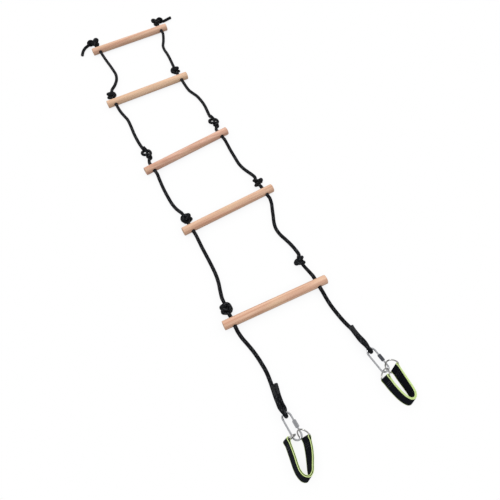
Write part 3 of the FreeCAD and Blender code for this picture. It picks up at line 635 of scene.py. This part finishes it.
def wood_material(i):
    """Sanded beech: straight grain along the rung, short ray flecks, end grain with rings."""
    material, net = new_material("beech_%d" % i)
    centre_x, centre_y, skew = RUNGS[i]
    centre = to_metres((centre_x, centre_y, RUNG_AXIS_Z))
    centred = net.node("ShaderNodeVectorMath", {0: net.object_coords(), 1: tuple(centre)},
                       operation="SUBTRACT").outputs[0]
    # grain coordinates: x along the rung, each rung rolled differently
    grain = net.mapped(centred, turn=(0.35 * i, 0, math.radians(-skew)))
    x, y, z = net.separate(grain)
    seed = 3.7 * i

    def grain_noise(shift_y, shift_z, along, across, detail=3.0, rough=0.55):
        """Noise with its own scales along and across the grain."""
        where = net.mapped(grain, shift=(seed, shift_y, shift_z), scale=(along, across, across))
        return net.noise(where, scale=1.0, detail=detail, rough=rough)

    # growth rings about a pith that lies outside the rung
    pith_y = 0.030 + 0.006 * math.sin(2.1 * i)
    warp = grain_noise(0, 0, along=2.5, across=22.0, rough=0.5)
    from_pith = net.distance(net.sub(y, pith_y), z)
    ring = net.math("FRACT", net.weighted(from_pith, 520.0, warp, 5.5))
    ring = net.math("POWER", ring, 2.2)
    fine = grain_noise(1, 2, along=9.0, across=420.0, detail=4.0, rough=0.62)
    broad = grain_noise(5, 1, along=5.0, across=30.0, rough=0.5)
    fleck = net.mask(grain_noise(2, 7, along=190.0, across=1300.0, detail=1.0, rough=0.4),
                     0.63, 0.72)
    streak = grain_noise(4, 8, along=2.2, across=120.0)

    light, green = WOOD_TONES[i]
    base_low = (0.590 + light, 0.315 + green + light * 0.6, 0.195 + light * 0.4)
    base_high = (0.880 + light, 0.575 + green + light * 0.8, 0.415 + light * 0.6)
    figure = net.add(net.weighted(broad, 0.30, streak, 0.50), net.mul(fine, 0.20))
    colour = net.ramp(figure, (0.38, base_low), (0.60, base_high))
    colour = net.mix(net.mul(ring, 0.32), colour, (0.47, 0.26, 0.15))
    yellow = net.mask(grain_noise(9, 3, along=7.0, across=16.0, detail=2.0, rough=0.5), 0.5, 0.72)
    colour = net.mix(net.mul(yellow, 0.35), colour, (0.86, 0.66, 0.40))
    colour = net.mix(net.mul(fleck, 0.28), colour, (0.36, 0.20, 0.12))
    pink = net.mask(grain_noise(14, 8, along=2.8, across=95.0, detail=2.0, rough=0.5), 0.52, 0.66)
    colour = net.mix(net.mul(pink, 0.45), colour, (0.62, 0.29, 0.19))

    # darker ring round the rope holes, which run level through the rung
    along = net.math("ABSOLUTE", x)
    from_hole = net.sub(along, HOLE_SPACING / 2 * MM)
    level = net.separate(net.mapped(centred, turn=(0, 0, math.radians(-skew))))[2]
    hole_distance = net.distance(from_hole, level)
    # noise that roughens the edge of the darker ring round each hole
    ring_noise = net.noise(grain, scale=420.0, rough=0.6)
    hole_ring_dark = net.ramp(net.add(hole_distance, net.mul(ring_noise, 0.004)), (0.0088, 1), (0.0125, 0))
    colour = net.mix(net.mul(hole_ring_dark, 0.55), colour, (0.16, 0.10, 0.07))

    # end grain with pores, on the last 0.6 mm at each end
    end = net.above(along, (RUNG_LENGTH / 2 - 0.6) * MM)
    end_colour = net.ramp(ring, (0.0, (0.66, 0.44, 0.28)), (0.8, (0.36, 0.20, 0.11)))
    pores = net.mask(net.noise(grain, scale=2600.0, detail=2.0, rough=0.7), 0.5, 0.7)
    end_colour = net.mix(net.mul(pores, 0.4), end_colour, (0.25, 0.14, 0.08))
    rough = net.add(0.40, net.mul(fine, 0.18))
    height = net.sub(net.weighted(fine, 0.5, ring, -0.35), net.mul(fleck, 0.5))
    net.principled({
        "Base Color": net.mix(end, colour, end_colour),
        "Roughness": net.add(rough, net.mul(end, 0.25), clamp=True),
        "Specular IOR Level": 0.45,
        "Coat Weight": 0.12,
        "Coat Roughness": 0.35,
        "Normal": net.bump(height, strength=0.35, distance=0.0004),
    })
    return material


def metal_material(name, base, rough, brushed=1.0):
    """Worn metal; brushed scales its fine scratches."""
    material, net = new_material(name)
    coords = net.object_coords()
    patches = net.noise(coords, scale=160.0, detail=4.0, rough=0.6)
    scratches = net.noise(net.mapped(coords, scale=(1.0, 0.12, 1.0)), scale=2400.0, rough=0.6)
    low = tuple(c * 0.80 for c in base)
    high = tuple(min(1.0, c * 1.08) for c in base)
    patchy = net.add(rough, net.mul(net.sub(patches, 0.5), 0.22))
    net.principled({
        "Base Color": net.ramp(net.weighted(patches, 0.6, scratches, 0.4), (0.3, low), (0.7, high)),
        "Metallic": 1.0,
        "Roughness": net.add(patchy, net.mul(scratches, 0.06 * brushed), clamp=True),
        "Normal": net.bump(scratches, strength=0.10 * brushed, distance=0.0002),
    })
    return material


def web_material(name, top_band, through_limit, tint, neon_colour, low_band=3.2):
    """Black twill webbing with yellow-green selvedges; the lower selvedge gets a darker green as
    painted shade.

    The bands are the green widths in mm; the top one shows only where the Through map
    is less than through_limit.
    """
    material, net = new_material(name)
    u, v, _ = net.uv("UVMap")       # u across in mm from the middle, v along in mm
    twill = net.zigzag(net.weighted(u, 0.75, v, 0.55))
    picks = net.zigzag(net.mul(v, 0.8))
    ends = net.zigzag(net.mul(u, 1.1))
    fibre_coords = net.combine(net.mul(u, 2.2), net.mul(v, 0.5))
    fibre = net.noise(fibre_coords, scale=3.0, detail=4.0, rough=0.6)
    wobble = net.noise(fibre_coords, scale=0.8, detail=2.0, rough=0.5)
    reach = net.add(net.math("ABSOLUTE", u), net.mul(net.sub(wobble, 0.5), 0.5))
    through = net.uv("Through")[0]
    is_top = net.above(u, 0.0)
    green_top = net.mul(net.above(reach, WEB_WIDTH / 2 - top_band),
                        net.below(through, through_limit))
    green_low = net.above(reach, WEB_WIDTH / 2 - low_band)
    green = net.add(net.mul(green_top, is_top),
                    net.mul(green_low, net.sub(1.0, is_top)), clamp=True)
    black = net.ramp(net.weighted(fibre, 0.5, twill, 0.5),
                     (0.25, (0.0008, 0.0010, 0.0022)), (0.85, (0.0060, 0.0070, 0.0140)))
    neon = net.ramp(net.weighted(fibre, 0.6, picks, 0.4),
                    (0.2, tuple(c * 0.75 for c in neon_colour)), (0.8, neon_colour))
    # painted shade: the selvedge on the lower edge is a darker copy of the green on the top edge
    shaded_green = net.ramp(net.weighted(fibre, 0.6, picks, 0.4),
                    (0.2, (0.16, 0.22, 0.045)), (0.8, (0.40, 0.52, 0.13)))
    selvedge = net.mix(net.above(u, 0.0), shaded_green, neon)
    height = net.add(net.mul(twill, net.sub(1.0, green)), net.mul(picks, green))
    height = net.add(height, net.mul(ends, 0.35))
    height = net.add(height, net.mul(fibre, 0.5))
    net.principled({
        "Base Color": net.mix(green, black, selvedge),
        "Roughness": net.ramp(fibre, (0.2, 0.78), (0.8, 0.56)),
        "Sheen Weight": 0.02,
        "Sheen Roughness": 0.5,
        "Sheen Tint": rgba(tint),
        "Specular IOR Level": 0.07,
        "Normal": net.bump(height, strength=0.5, distance=0.0005),
    })
    return material


# ------------------------------------------------------------------- rope centre lines
def rung_axes(i):
    """Direction of rung i, and its level normal towards the tails."""
    angle = math.radians(RUNGS[i][2])
    return (math.cos(angle), math.sin(angle)), (-math.sin(angle), math.cos(angle))


def hole_point(i, side, along):
    """Point on the axis of a rope hole, measured from the rung axis towards the tails."""
    direction, normal = rung_axes(i)
    x, y = (RUNGS[i][k] + SIDES[side] * HOLE_SPACING / 2 * direction[k] + along * normal[k]
            for k in (0, 1))
    return (x, y, RUNG_AXIS_Z)


def knot_bend_point(i, x):
    """Point at x on the knot-side bending line of rung i."""
    direction, normal = rung_axes(i)
    line_x, line_y = (RUNGS[i][k] + KNOT_BENDS[i] * normal[k] for k in (0, 1))
    return (x, line_y + (x - line_x) * direction[1] / direction[0], RUNG_AXIS_Z)


def eye_points(side):
    """Half turn of the rope round the +Y bow of the quick link."""
    centre_x, centre_y, skew = LINKS[side]
    skew = math.radians(skew)
    bow_top = LINK_STRAIGHT / 2 + LINK_BOW_R
    points = []
    for k in range(EYE_STEPS + 1):
        angle = math.radians(90 - 180 / EYE_STEPS * k)
        x = EYE_SLANT * (k - EYE_STEPS / 2) / (EYE_STEPS / 2)
        y = bow_top - EYE_R * math.cos(angle)
        z = EYE_R * math.sin(angle) + (EYE_END_LIFT if k == EYE_STEPS else 0.0)
        points.append((centre_x + math.cos(skew) * x - math.sin(skew) * y,
                       centre_y + math.sin(skew) * x + math.cos(skew) * y, LINK_Z + z))
    return points


def rope_stations(side):
    """(point, mark) pairs from the tail to the sewn end.

    ("knot", i) and ("strap", i) mark the bends either side of rung i, the tail bend being
    the knot-side bend of rung 5; ("tie", i) marks the place of a knot.
    """
    stations = [(point, None) for point in TAILS[side]]
    stations[-1] = (TAILS[side][-1], ("knot", 5))
    for i in (5, 4, 3, 2, 1):
        stations.append((KNOTS[side, i][:2] + (RUNG_AXIS_Z,), ("tie", i)))
        stations += [(hole_point(i, side, along), None) for along in HOLE_STATIONS]
        stations.append((hole_point(i, side, -STRAP_BEND), ("strap", i)))
        for point in SPANS[side].get(i - 1, []):
            if point[0] == "bend":
                stations.append((knot_bend_point(i - 1, point[1]), ("knot", i - 1)))
            else:
                stations.append((point, None))
    rest = LEADS[side] + eye_points(side) + RETURNS[side]
    return stations + [(point, None) for point in rest]


def knot_shape(side, i):
    """Scaled knot points and half their length along the rope."""
    shape = KNOTS[side, i][2]
    scale = KNOT_SCALE[shape]
    points = [(x * scale[0], y * scale[1], z * scale[2]) for x, y, z in KNOT_SHAPES[shape]]
    return points, max(abs(point[1]) for point in points)


def tied_knot(side, i, place, bend):
    """Knot points in layout coordinates, lined up from the bend towards the rung hole."""
    lobe_side, lift = KNOTS[side, i][3:]
    shape, half = knot_shape(side, i)
    hole = hole_point(i, side, HOLE_STATIONS[0])
    along = np.array(unit(tuple(b - a for a, b in zip(bend, hole))))
    across = np.cross(along, (0.0, 0.0, 1.0))
    across /= np.linalg.norm(across)
    up = np.cross(across, along)
    middle = 0.5 * (min(point[0] for point in shape) + max(point[0] for point in shape))
    tied = []
    for x, y, z in shape:
        # centring and lift fade out where the standing rope leaves the knot
        leaving = abs(x) < 6 and abs(y) > 8
        weight = smoothstep((half + 1.0 - abs(y)) / 9.0) if leaving else 1.0
        point = np.array(place) + across * (x - middle * weight) * lobe_side + along * y + up * z
        point[2] += lift * weight
        tied.append(tuple(point.tolist()))
    return tied


def rope_curve(side):
    """Centre line with its knots tied in: points, radii, lengths and length at each bend."""
    keep_out = [(KNOTS[side, i][:2], knot_shape(side, i)[1] + KNOT_CLEARANCE) for i in RUNGS]
    controls, radii, marks = [], [], []
    for point, mark in rope_stations(side):
        if mark and mark[0] == "tie":
            added, radius, mark = tied_knot(side, mark[1], point, bend), KNOT_ROPE_R, None
        elif mark:
            added, radius, bend = [point], ROPE_R, point
        elif any(math.dist(place, point[:2]) < reach for place, reach in keep_out):
            continue
        else:
            added, radius = [point], ROPE_R
        controls += added
        radii += [radius] * len(added)
        marks += [mark] * len(added)
    points, fine_radii, bends = [controls[0]], [radii[0]], {}
    for j in range(len(controls) - 1):
        if marks[j] is not None:
            bends[marks[j]] = len(points) - 1
        segment = curve_segment(controls, j, ROPE_CURVE_STEP)
        points += segment
        for k in range(len(segment)):
            part = (k + 1) / len(segment)
            fine_radii.append((1 - part) * radii[j] + part * radii[j + 1])
    points = np.array(points)
    lengths = arc_lengths(points)
    cuts = {mark: lengths[index] for mark, index in bends.items()}
    return points, np.array(fine_radii), lengths, cuts


# ------------------------------------------------------------------------------- ropes
def braid_height(u, v):
    """Relief of the braid in mm: u in turns, v in diamonds."""
    a, b = u * CARRIERS + v, u * CARRIERS - v
    top = (np.floor(a) + np.floor(b)) % 2
    across = np.where(top < 0.5, a % 1.0, b % 1.0)
    along = np.where(top < 0.5, b % 1.0, a % 1.0)
    edge = np.abs(2 * across - 1)
    end = np.abs(2 * along - 1)
    # each strand is rounded across and sinks towards its ends
    return 0.62 * np.sqrt(np.clip(1 - 0.85 * edge * edge, 0, 1)) * (1 - 0.30 * end * end) - 0.38


class Rope:
    """One whole braided rope, from which separate pieces are cut."""

    def __init__(self, side, braid, cut_end):
        self.side = side
        self.materials = [braid, cut_end]
        points, radii, lengths, self.cuts = rope_curve(side)
        self.stations = np.linspace(0, lengths[-1], int(lengths[-1] / RING_STEP) + 1)
        line = interpolate(self.stations, lengths, points)
        # light smoothing keeps the braid even where control points are dense
        for _ in range(2):
            line[1:-1] = 0.25 * line[:-2] + 0.5 * line[1:-1] + 0.25 * line[2:]
        self.line = line
        self.radii = np.interp(self.stations, lengths, radii)
        self.tangents, self.normals, self.binormals = frames_along(line)
        self.diamonds = self.stations / DIAMOND
        turns = np.arange(AROUND) / AROUND
        angles = (2 * np.pi * turns)[None, :, None]
        relief = braid_height(turns[None, :], self.diamonds[:, None])
        reach = self.radii[:, None] - BRAID_INSET + relief * (self.radii[:, None] / ROPE_R)
        outward = (np.cos(angles) * self.normals[:, None, :]
                   + np.sin(angles) * self.binormals[:, None, :])
        self.rings = line[:, None, :] + outward * reach[:, :, None]

    def index(self, length):
        return int(np.argmin(np.abs(self.stations - length)))

    def point(self, length):
        return interpolate(length, self.stations, self.line)

    def melted_ring(self, k, outward, factor, out):
        """One slightly uneven ring of a melted end."""
        ring = []
        for j in range(AROUND):
            angle = 2 * math.pi * j / AROUND
            wobble = 1 + 0.05 * math.sin(3 * angle + 1.0) + 0.03 * math.sin(7 * angle)
            radial = math.cos(angle) * self.normals[k] + math.sin(angle) * self.binormals[k]
            offset = radial * (self.radii[k] * factor * wobble)
            ring.append(to_metres(self.line[k] + offset + outward * out))
        return ring

    def piece(self, name, start, end, open_start=False, open_end=False):
        """Closed mesh of the rope between two lengths; an open end is a melted rope end."""
        first, last = self.index(start), self.index(end)
        verts = [to_metres(point) for point in self.rings[first:last + 1].reshape(-1, 3)]
        turns = [j / AROUND for j in range(AROUND + 1)]
        faces, uvs = [], []
        for k in range(last - first):
            faces += band(k * AROUND, (k + 1) * AROUND, AROUND)
            uvs += band_uvs(turns, self.diamonds[first + k], self.diamonds[first + k + 1])
        slots = [0] * len(faces)
        for k, is_open, is_start in ((first, open_start, True), (last, open_end, False)):
            ring = (k - first) * AROUND
            outward = -self.tangents[k] if is_start else self.tangents[k]
            tip = 0.0
            if is_open:
                tip = MELTED_TIP
                for factor, out in MELTED_END:
                    inner = len(verts)
                    verts += self.melted_ring(k, outward, factor, out)
                    for a, b, c, d in band(ring, inner, AROUND):
                        faces.append((a, d, c, b) if is_start else (a, b, c, d))
                    uvs += [(0, 0)] * 4 * AROUND
                    ring = inner
            faces += fan(len(verts), ring, AROUND, flip=is_start)
            verts.append(to_metres(self.line[k] + outward * tip))
            uvs += [(0.0, self.diamonds[k])] * 3 * AROUND
        slots += [1] * (len(faces) - len(slots))
        return mesh_object(name, verts, faces, self.materials, {"UVMap": uvs}, slots)

    def blend(self, piece, parent, child, bend, direction, margin, spread):
        """Bakes the piece's transform into its mesh; direction is not used."""
        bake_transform(piece)


def build_tail(rope):
    name = "%s_rope_tail" % rope.side
    bend = rope.cuts["knot", 5]
    piece = rope.piece(name + "_braid", 0.0, bend + TAIL_MARGIN, open_start=True)
    rope.blend(piece, "rung_5_ropes", name, bend, -1, TAIL_MARGIN, TAIL_SPREAD)
    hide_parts(name)


def build_knot(rope, i):
    """The knot at rung i with the rope through the rung."""
    name = "%s_rope_knot_%d" % (rope.side, i)
    start = rope.cuts["knot", i] + (TAIL_MARGIN if i == 5 else KNOT_MARGIN)
    piece = rope.piece(name + "_braid", start, rope.cuts["strap", i] - STRAP_MARGIN)
    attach(piece, "rung_%d_ropes" % i)
    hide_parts(name)


def build_span(rope, i):
    """Rope between rungs i - 1 and i, cut in half way; the far half is at rung i."""
    name = "%s_rope_span_%d_%d" % (rope.side, i - 1, i)
    bay = "bay_%d_%d" % (i - 1, i)
    start, end = rope.cuts["strap", i], rope.cuts["knot", i - 1]
    middle = 0.5 * (start + end)
    far = rope.piece(name + "_far_braid", start - STRAP_MARGIN, middle)
    rope.blend(far, "rung_%d_ropes" % i, bay, start, 1, STRAP_MARGIN, BEND_SPREAD)
    near = rope.piece(name + "_near_braid", middle, end + KNOT_MARGIN)
    rope.blend(near, "rung_%d_ropes" % (i - 1), bay, end, -1, KNOT_MARGIN, BEND_SPREAD)
    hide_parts(name)


def build_lead(rope):
    name = "%s_rope_lead" % rope.side
    bend = rope.cuts["strap", 1]
    piece = rope.piece(name + "_braid", bend - STRAP_MARGIN, rope.stations[-1], open_end=True)
    rope.blend(piece, "rung_1_ropes", name, bend, 1, STRAP_MARGIN, BEND_SPREAD)
    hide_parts(name)


def build_rope(side, braid, cut_end):
    rope = Rope(side, braid, cut_end)
    build_tail(rope)
    for i in (5, 4, 3, 2, 1):
        build_knot(rope, i)
        if i > 1:
            build_span(rope, i)
    build_lead(rope)
    return rope


def build_eye_stitches(rope, thread):
    """Crossed stitches over the lead and the short end beside it."""
    start = rope.index(rope.cuts["strap", 1])
    turn = start + int(np.argmin(rope.line[start:, 1]))
    lead, back = rope.line[start:turn], rope.line[turn:]

    def at_y(part, y):
        return part[int(np.argmin(np.abs(part[:, 1] - y)))]

    first_y, step_y = EYE_SEWING[rope.side]
    over = ROPE_R + 0.15            # thread height over a rope centre
    paths = []
    for k in range(EYE_STITCHES):
        for slant in (-1, 1):
            lead_y = first_y + step_y * k + slant * 1.1
            back_y = first_y + step_y * k - slant * 1.1
            a, b = at_y(lead, lead_y), at_y(back, back_y)
            middle_y = 0.5 * (a[1] + b[1])
            top = max(a[2], b[2]) + over
            paths.append(open_smooth([
                (a[0] - 4.9, lead_y, a[2] + 2.4),
                (a[0] - 3.2, lead_y, a[2] + over * 0.88),
                (a[0], lead_y, a[2] + over + 0.35),
                (a[0] * 0.6 + b[0] * 0.4, middle_y, top - 0.6 + 0.3 * slant),
                (b[0] * 0.6 + a[0] * 0.4, middle_y, top - 0.9 + 0.3 * slant),
                (b[0], back_y, b[2] + over + 0.35),
                (b[0] + 3.2, back_y, b[2] + over * 0.88),
                (b[0] + 4.9, back_y, b[2] + 2.4),
            ]))
    stitches = thread_mesh("%s_eye_stitches" % rope.side, paths, EYE_THREAD_R, thread)
    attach(stitches, "%s_rope_lead" % rope.side)
    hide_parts("%s_eye_stitching" % rope.side)


# ------------------------------------------------------------------------------ straps
class StrapLine:
    """Centre line of a strap from one D ring bar to the other, with its width direction."""

    def __init__(self, side):
        (start, start_bar), (end, end_bar) = RING_BARS[side]
        path, leans = [start], [unit(start_bar)]
        for x, y, z, lean_x, lean_y in STRAPS[side]:
            lean = (lean_x, lean_y, math.sqrt(1 - lean_x * lean_x - lean_y * lean_y))
            leans.append(lean)
            edge = (x, y, z + WEB_LIFT)
            path.append(tuple(c + WEB_WIDTH / 2 * k for c, k in zip(edge, lean)))
        path.append(end)
        leans.append(unit(end_bar))
        line = [path[0]]
        for i in range(len(path) - 1):
            line += curve_segment(path, i, 1.0)
        self.line = np.array(line)
        self.lengths = arc_lengths(self.line)
        self.length = self.lengths[-1]
        chords = arc_lengths(np.array(path))
        widths = interpolate(self.lengths / self.length * chords[-1], chords, np.array(leans))
        self.widths = widths / np.linalg.norm(widths, axis=1)[:, None]
        self.tangents = squared_to(np.gradient(self.line, axis=0), self.widths)

    def at(self, length, offset, along=0.0):
        """Point offset from the centre line, and the width direction there."""
        point, width, tangent = (interpolate(length, self.lengths, rows)
                                 for rows in (self.line, self.widths, self.tangents))
        width /= np.linalg.norm(width)
        normal = np.cross(tangent, width)
        normal /= np.linalg.norm(normal)
        return point + normal * offset + tangent * along, width

    def fold(self, length, first_angle):
        """Half turn of the ply round a ring bar."""
        angles = [math.radians(first_angle + k) for k in range(0, 181, 30)]
        return [self.at(length, FOLD_R * math.sin(a), FOLD_R * math.cos(a)) for a in angles]

    def loop(self):
        """Closed line of the ply: one face, round the start bar, back, round the end bar."""
        total = self.length
        return np.array([np.concatenate(station) for station in (
            [self.at(s, HALF_GAP) for s in np.arange(total - 15.0, 14.9, -4.0)]
            + [self.at(s, offset) for s, offset in FOLD_TAPER]
            + self.fold(0.0, 90)
            + [self.at(s, -offset) for s, offset in reversed(FOLD_TAPER)]
            + [self.at(s, -HALF_GAP) for s in np.arange(15.0, total - 14.9, 4.0)]
            + [self.at(total - s, -offset) for s, offset in FOLD_TAPER]
            + self.fold(total, -90)
            + [self.at(total - s, offset) for s, offset in reversed(FOLD_TAPER)])])


def web_profile(half, columns=22):
    """Cross-section with rounded selvedges, as (across, through) points."""
    flat = half - SELVEDGE_R
    bulge = PLY / 2 + 0.12
    profile = []
    for sign, angles in ((1, (60, 30, 0, -30, -60)), (-1, (-120, -150, 180, 150, 120))):
        for k in range(columns + 1):
            profile.append((sign * (-flat + 2 * flat * k / columns), sign * PLY / 2))
        for angle in map(math.radians, angles):
            profile.append((sign * flat + SELVEDGE_R * math.cos(angle), bulge * math.sin(angle)))
    return profile


def build_webbing(side, strap, material):
    rows, stations, total = closed_smooth(strap.loop(), step=1.15)
    line, widths = rows[:, :3], rows[:, 3:]
    widths /= np.linalg.norm(widths, axis=1)[:, None]
    tangents = squared_to(np.roll(line, -1, 0) - np.roll(line, 1, 0), widths)
    normals = np.cross(tangents, widths)
    half = WEB_WIDTH / 2 - 0.3
    profile = web_profile(half)
    verts = []
    for k, station in enumerate(stations):
        for across, through in profile:
            if abs(across) < half - 1.0:        # shallow ribs on the faces
                rib = 0.10 * math.sin(2 * math.pi * station / 2.3 + 0.9 * across)
                through += rib * (1 if through > 0 else -1)
            else:                               # scalloped selvedges
                scallop = 0.12 * math.sin(2 * math.pi * station / 2.9)
                across += math.copysign(scallop, across)
            verts.append(to_metres(line[k] + widths[k] * across + normals[k] * through))
    count, sides = len(line), len(profile)
    ring_across = [across for across, _ in profile + profile[:1]]
    ring_through = [through for _, through in profile + profile[:1]]
    ends = list(stations[1:]) + [total]
    faces, uvs = [], []
    for k in range(count):
        faces += band(k * sides, (k + 1) % count * sides, sides)
        uvs += band_uvs(ring_across, stations[k], ends[k])
    uv_maps = {"UVMap": uvs, "Through": band_uvs(ring_through, 0.0, 0.0) * count}
    webbing = mesh_object("%s_strap_webbing" % side, verts, faces, [material], uv_maps)
    shell = bmesh.new()
    shell.from_mesh(webbing.data)
    bmesh.ops.recalc_face_normals(shell, faces=shell.faces)
    shell.to_mesh(webbing.data)
    shell.free()
    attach(webbing, "%s_strap" % side)
    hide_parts("%s_strap" % side)


def build_web_stitches(side, strap, thread):
    """Rows of stitches on both faces of the strap near each ring."""
    half = WEB_WIDTH / 2 - 5.0
    rows = list(WEB_STITCH_ROWS) + [strap.length - row for row in WEB_STITCH_ROWS]
    paths = []
    for row in rows:
        for face in (1, -1):
            start = -half
            while start < half - 2.0:
                path = []
                for across, lift in WEB_STITCH:
                    point, width = strap.at(row, face * (HALF_GAP + PLY / 2 + lift))
                    path.append(point + width * (start + across))
                paths.append(path)
                start += WEB_STITCH_PITCH
    stitches = thread_mesh("%s_strap_stitches" % side, paths, 0.42, thread, sides=6)
    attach(stitches, "%s_strap" % side)


def build_strap(side, webbing, thread):
    strap = StrapLine(side)
    build_webbing(side, strap, webbing)
    build_web_stitches(side, strap, thread)


# ------------------------------------------------------------- materials on CAD pieces
def give(node, material):
    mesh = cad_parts[node].data
    mesh.materials.clear()
    mesh.materials.append(material)
    for polygon in mesh.polygons:
        polygon.material_index = 0


def dress_cad_pieces():
    for i in RUNGS:
        give("rung_%d" % i, wood_material(i))
    zinc = metal_material("bright_zinc", base=(0.74, 0.75, 0.77), rough=0.20)
    nuts = {
        "left": metal_material("bright_zinc_nut", base=(0.70, 0.71, 0.73), rough=0.26),
        "right": metal_material("dark_zinc_nut", base=(0.24, 0.25, 0.28), rough=0.14),
    }
    nickel = metal_material("nickel_wire", base=(0.66, 0.65, 0.62), rough=0.14, brushed=0.6)
    for side in SIDES:
        give("%s_quick_link" % side, zinc)
        give("%s_link_nut" % side, nuts[side])
        for which in ("outer", "inner"):
            give("%s_%s_d_ring" % (side, which), nickel)


# ----------------------------------------------------------------- floor, light, camera
def build_floor():
    """See-through floor with a painted contact shadow: it greys only close round the ladder.

    A rung that swings below it stays in sight.
    """
    material, net = new_material("pale_floor")
    # painted contact shadow: ambient occlusion greys the floor next to the ladder, for camera rays
    # only
    occlusion = net.node("ShaderNodeAmbientOcclusion", {"Distance": 0.045}, samples=8)
    shade = net.ramp(occlusion.outputs["AO"],
                     (0.0, (0.80, 0.80, 0.81)), (0.55, (0.95, 0.95, 0.955)), (0.95, 1))
    is_camera = net.node("ShaderNodeLightPath").outputs["Is Camera Ray"]
    net.surface(net.node("ShaderNodeBsdfTransparent", {0: net.mix(is_camera, 1.0, shade)}))
    mesh = bpy.data.meshes.new("floor")
    half, level = 30.0, -0.0006     # metres
    corners = [(-half, -half), (half, -half), (half, half), (-half, half)]
    mesh.from_pydata([(x, y, level) for x, y in corners], [], [(0, 1, 2, 3)])
    mesh.materials.append(material)
    floor = bpy.data.objects.new("floor", mesh)
    bpy.context.scene.collection.objects.link(floor)


def build_world():
    """White to the camera, soft light for surfaces, a studio room for reflections."""
    world = bpy.data.worlds.new("studio")
    bpy.context.scene.world = world
    world.use_nodes = True
    net = Graph(world.node_tree)
    x, y, z = net.separate(net.node("ShaderNodeTexCoord").outputs["Generated"])

    def half_range(value):
        """Maps -1..1 to 0..1."""
        return net.add(net.mul(value, 0.5), 0.5)

    # soft boxes and dark walls as metal sees them
    room = net.ramp(half_range(net.add(z, net.mul(x, 0.25))),
                    (0.0, (0.42, 0.42, 0.43)), (0.40, (0.60, 0.60, 0.61)),
                    (0.47, (0.10, 0.10, 0.11)), (0.60, (0.05, 0.05, 0.055)),
                    (0.68, (0.55, 0.55, 0.56)), (0.80, 1.0),
                    (0.90, (0.75, 0.75, 0.76)), (1.0, (0.30, 0.30, 0.31)))
    rays = net.node("ShaderNodeLightPath").outputs
    # soft light, strongest from above and beyond the tails
    soft = net.ramp(half_range(net.weighted(z, 0.78, y, 0.62)), (0.0, 0.26), (1.0, 1.15))
    lit = net.mix(rays["Is Glossy Ray"], soft, room)
    colour = net.mix(rays["Is Camera Ray"], lit, 1.0)
    background = net.node("ShaderNodeBackground", {0: colour, 1: 1.0})
    net.node("ShaderNodeOutputWorld", {0: background.outputs[0]})


def area_light(name, place, size, power):
    """Disk light aimed at the scene origin."""
    light = bpy.data.lights.new(name, "AREA")
    light.shape = "DISK"
    light.size = size
    light.energy = power
    lamp = bpy.data.objects.new(name, light)
    lamp.location = place
    lamp.rotation_euler = (-Vector(place)).to_track_quat("-Z", "Y").to_euler()
    bpy.context.scene.collection.objects.link(lamp)


CAMERA_PLACE = (-377.7, -1325.8, 1474.3)        # layout millimetres
CAMERA_DIP = math.radians(60.46035)             # view direction below the horizon
CAMERA_ROLL = math.radians(-3.29989)
CAMERA_TURN = math.radians(26.18623)            # from +Y towards +X


def build_camera():
    right = Vector((1, 0, 0))
    forward = Vector((0, math.cos(CAMERA_DIP), -math.sin(CAMERA_DIP)))
    down = Vector((0, -math.sin(CAMERA_DIP), -math.cos(CAMERA_DIP)))
    cosine, sine = math.cos(CAMERA_ROLL), math.sin(CAMERA_ROLL)
    rolled_right = cosine * right - sine * down
    rolled_down = sine * right + cosine * down
    turn = Matrix.Rotation(-CAMERA_TURN, 3, "Z")
    axes = (turn @ rolled_right, -(turn @ rolled_down), -(turn @ forward))
    placement = Matrix(axes).transposed().to_4x4()
    placement.translation = Vector(to_metres(CAMERA_PLACE))
    lens = bpy.data.cameras.new("camera")
    lens.sensor_width = 36.0
    lens.lens = 32.4
    lens.clip_end = 100.0
    camera = bpy.data.objects.new("camera", lens)
    camera.matrix_world = placement
    bpy.context.scene.collection.objects.link(camera)
    bpy.context.scene.camera = camera


# ------------------------------------------------------------------------------- build
cut_end = end_material("rope_cut_end")
BRAID_SEEDS = {"left": 1.7, "right": 6.1}
ropes = [build_rope(side, rope_material("black_braid_%s" % side, BRAID_SEEDS[side]), cut_end)
         for side in SIDES]
black_thread = thread_material("black_thread", base=(0.008, 0.0085, 0.010))
for rope in ropes:
    build_eye_stitches(rope, black_thread)

web_thread = thread_material("webbing_thread", base=(0.016, 0.018, 0.026))
build_strap("left", web_material("webbing_left", top_band=2.2, through_limit=0.55,
                                 tint=(0.7, 0.8, 1.0), neon_colour=(0.80, 0.98, 0.40)), web_thread)
build_strap("right", web_material("webbing_right", top_band=3.1, through_limit=9.0,
                                  tint=(0.75, 0.85, 1.0), neon_colour=(0.78, 0.96, 0.42)),
            web_thread)
dress_cad_pieces()

build_floor()
bpy.context.scene.view_settings.view_transform = "Standard"
bpy.context.scene.view_settings.look = "None"
build_world()
area_light("key", place=(-1.6, 2.6, 3.0), size=1.6, power=42.0)
area_light("fill", place=(2.4, -2.2, 2.6), size=2.4, power=8.0)
build_camera()
bpy.context.view_layer.update()
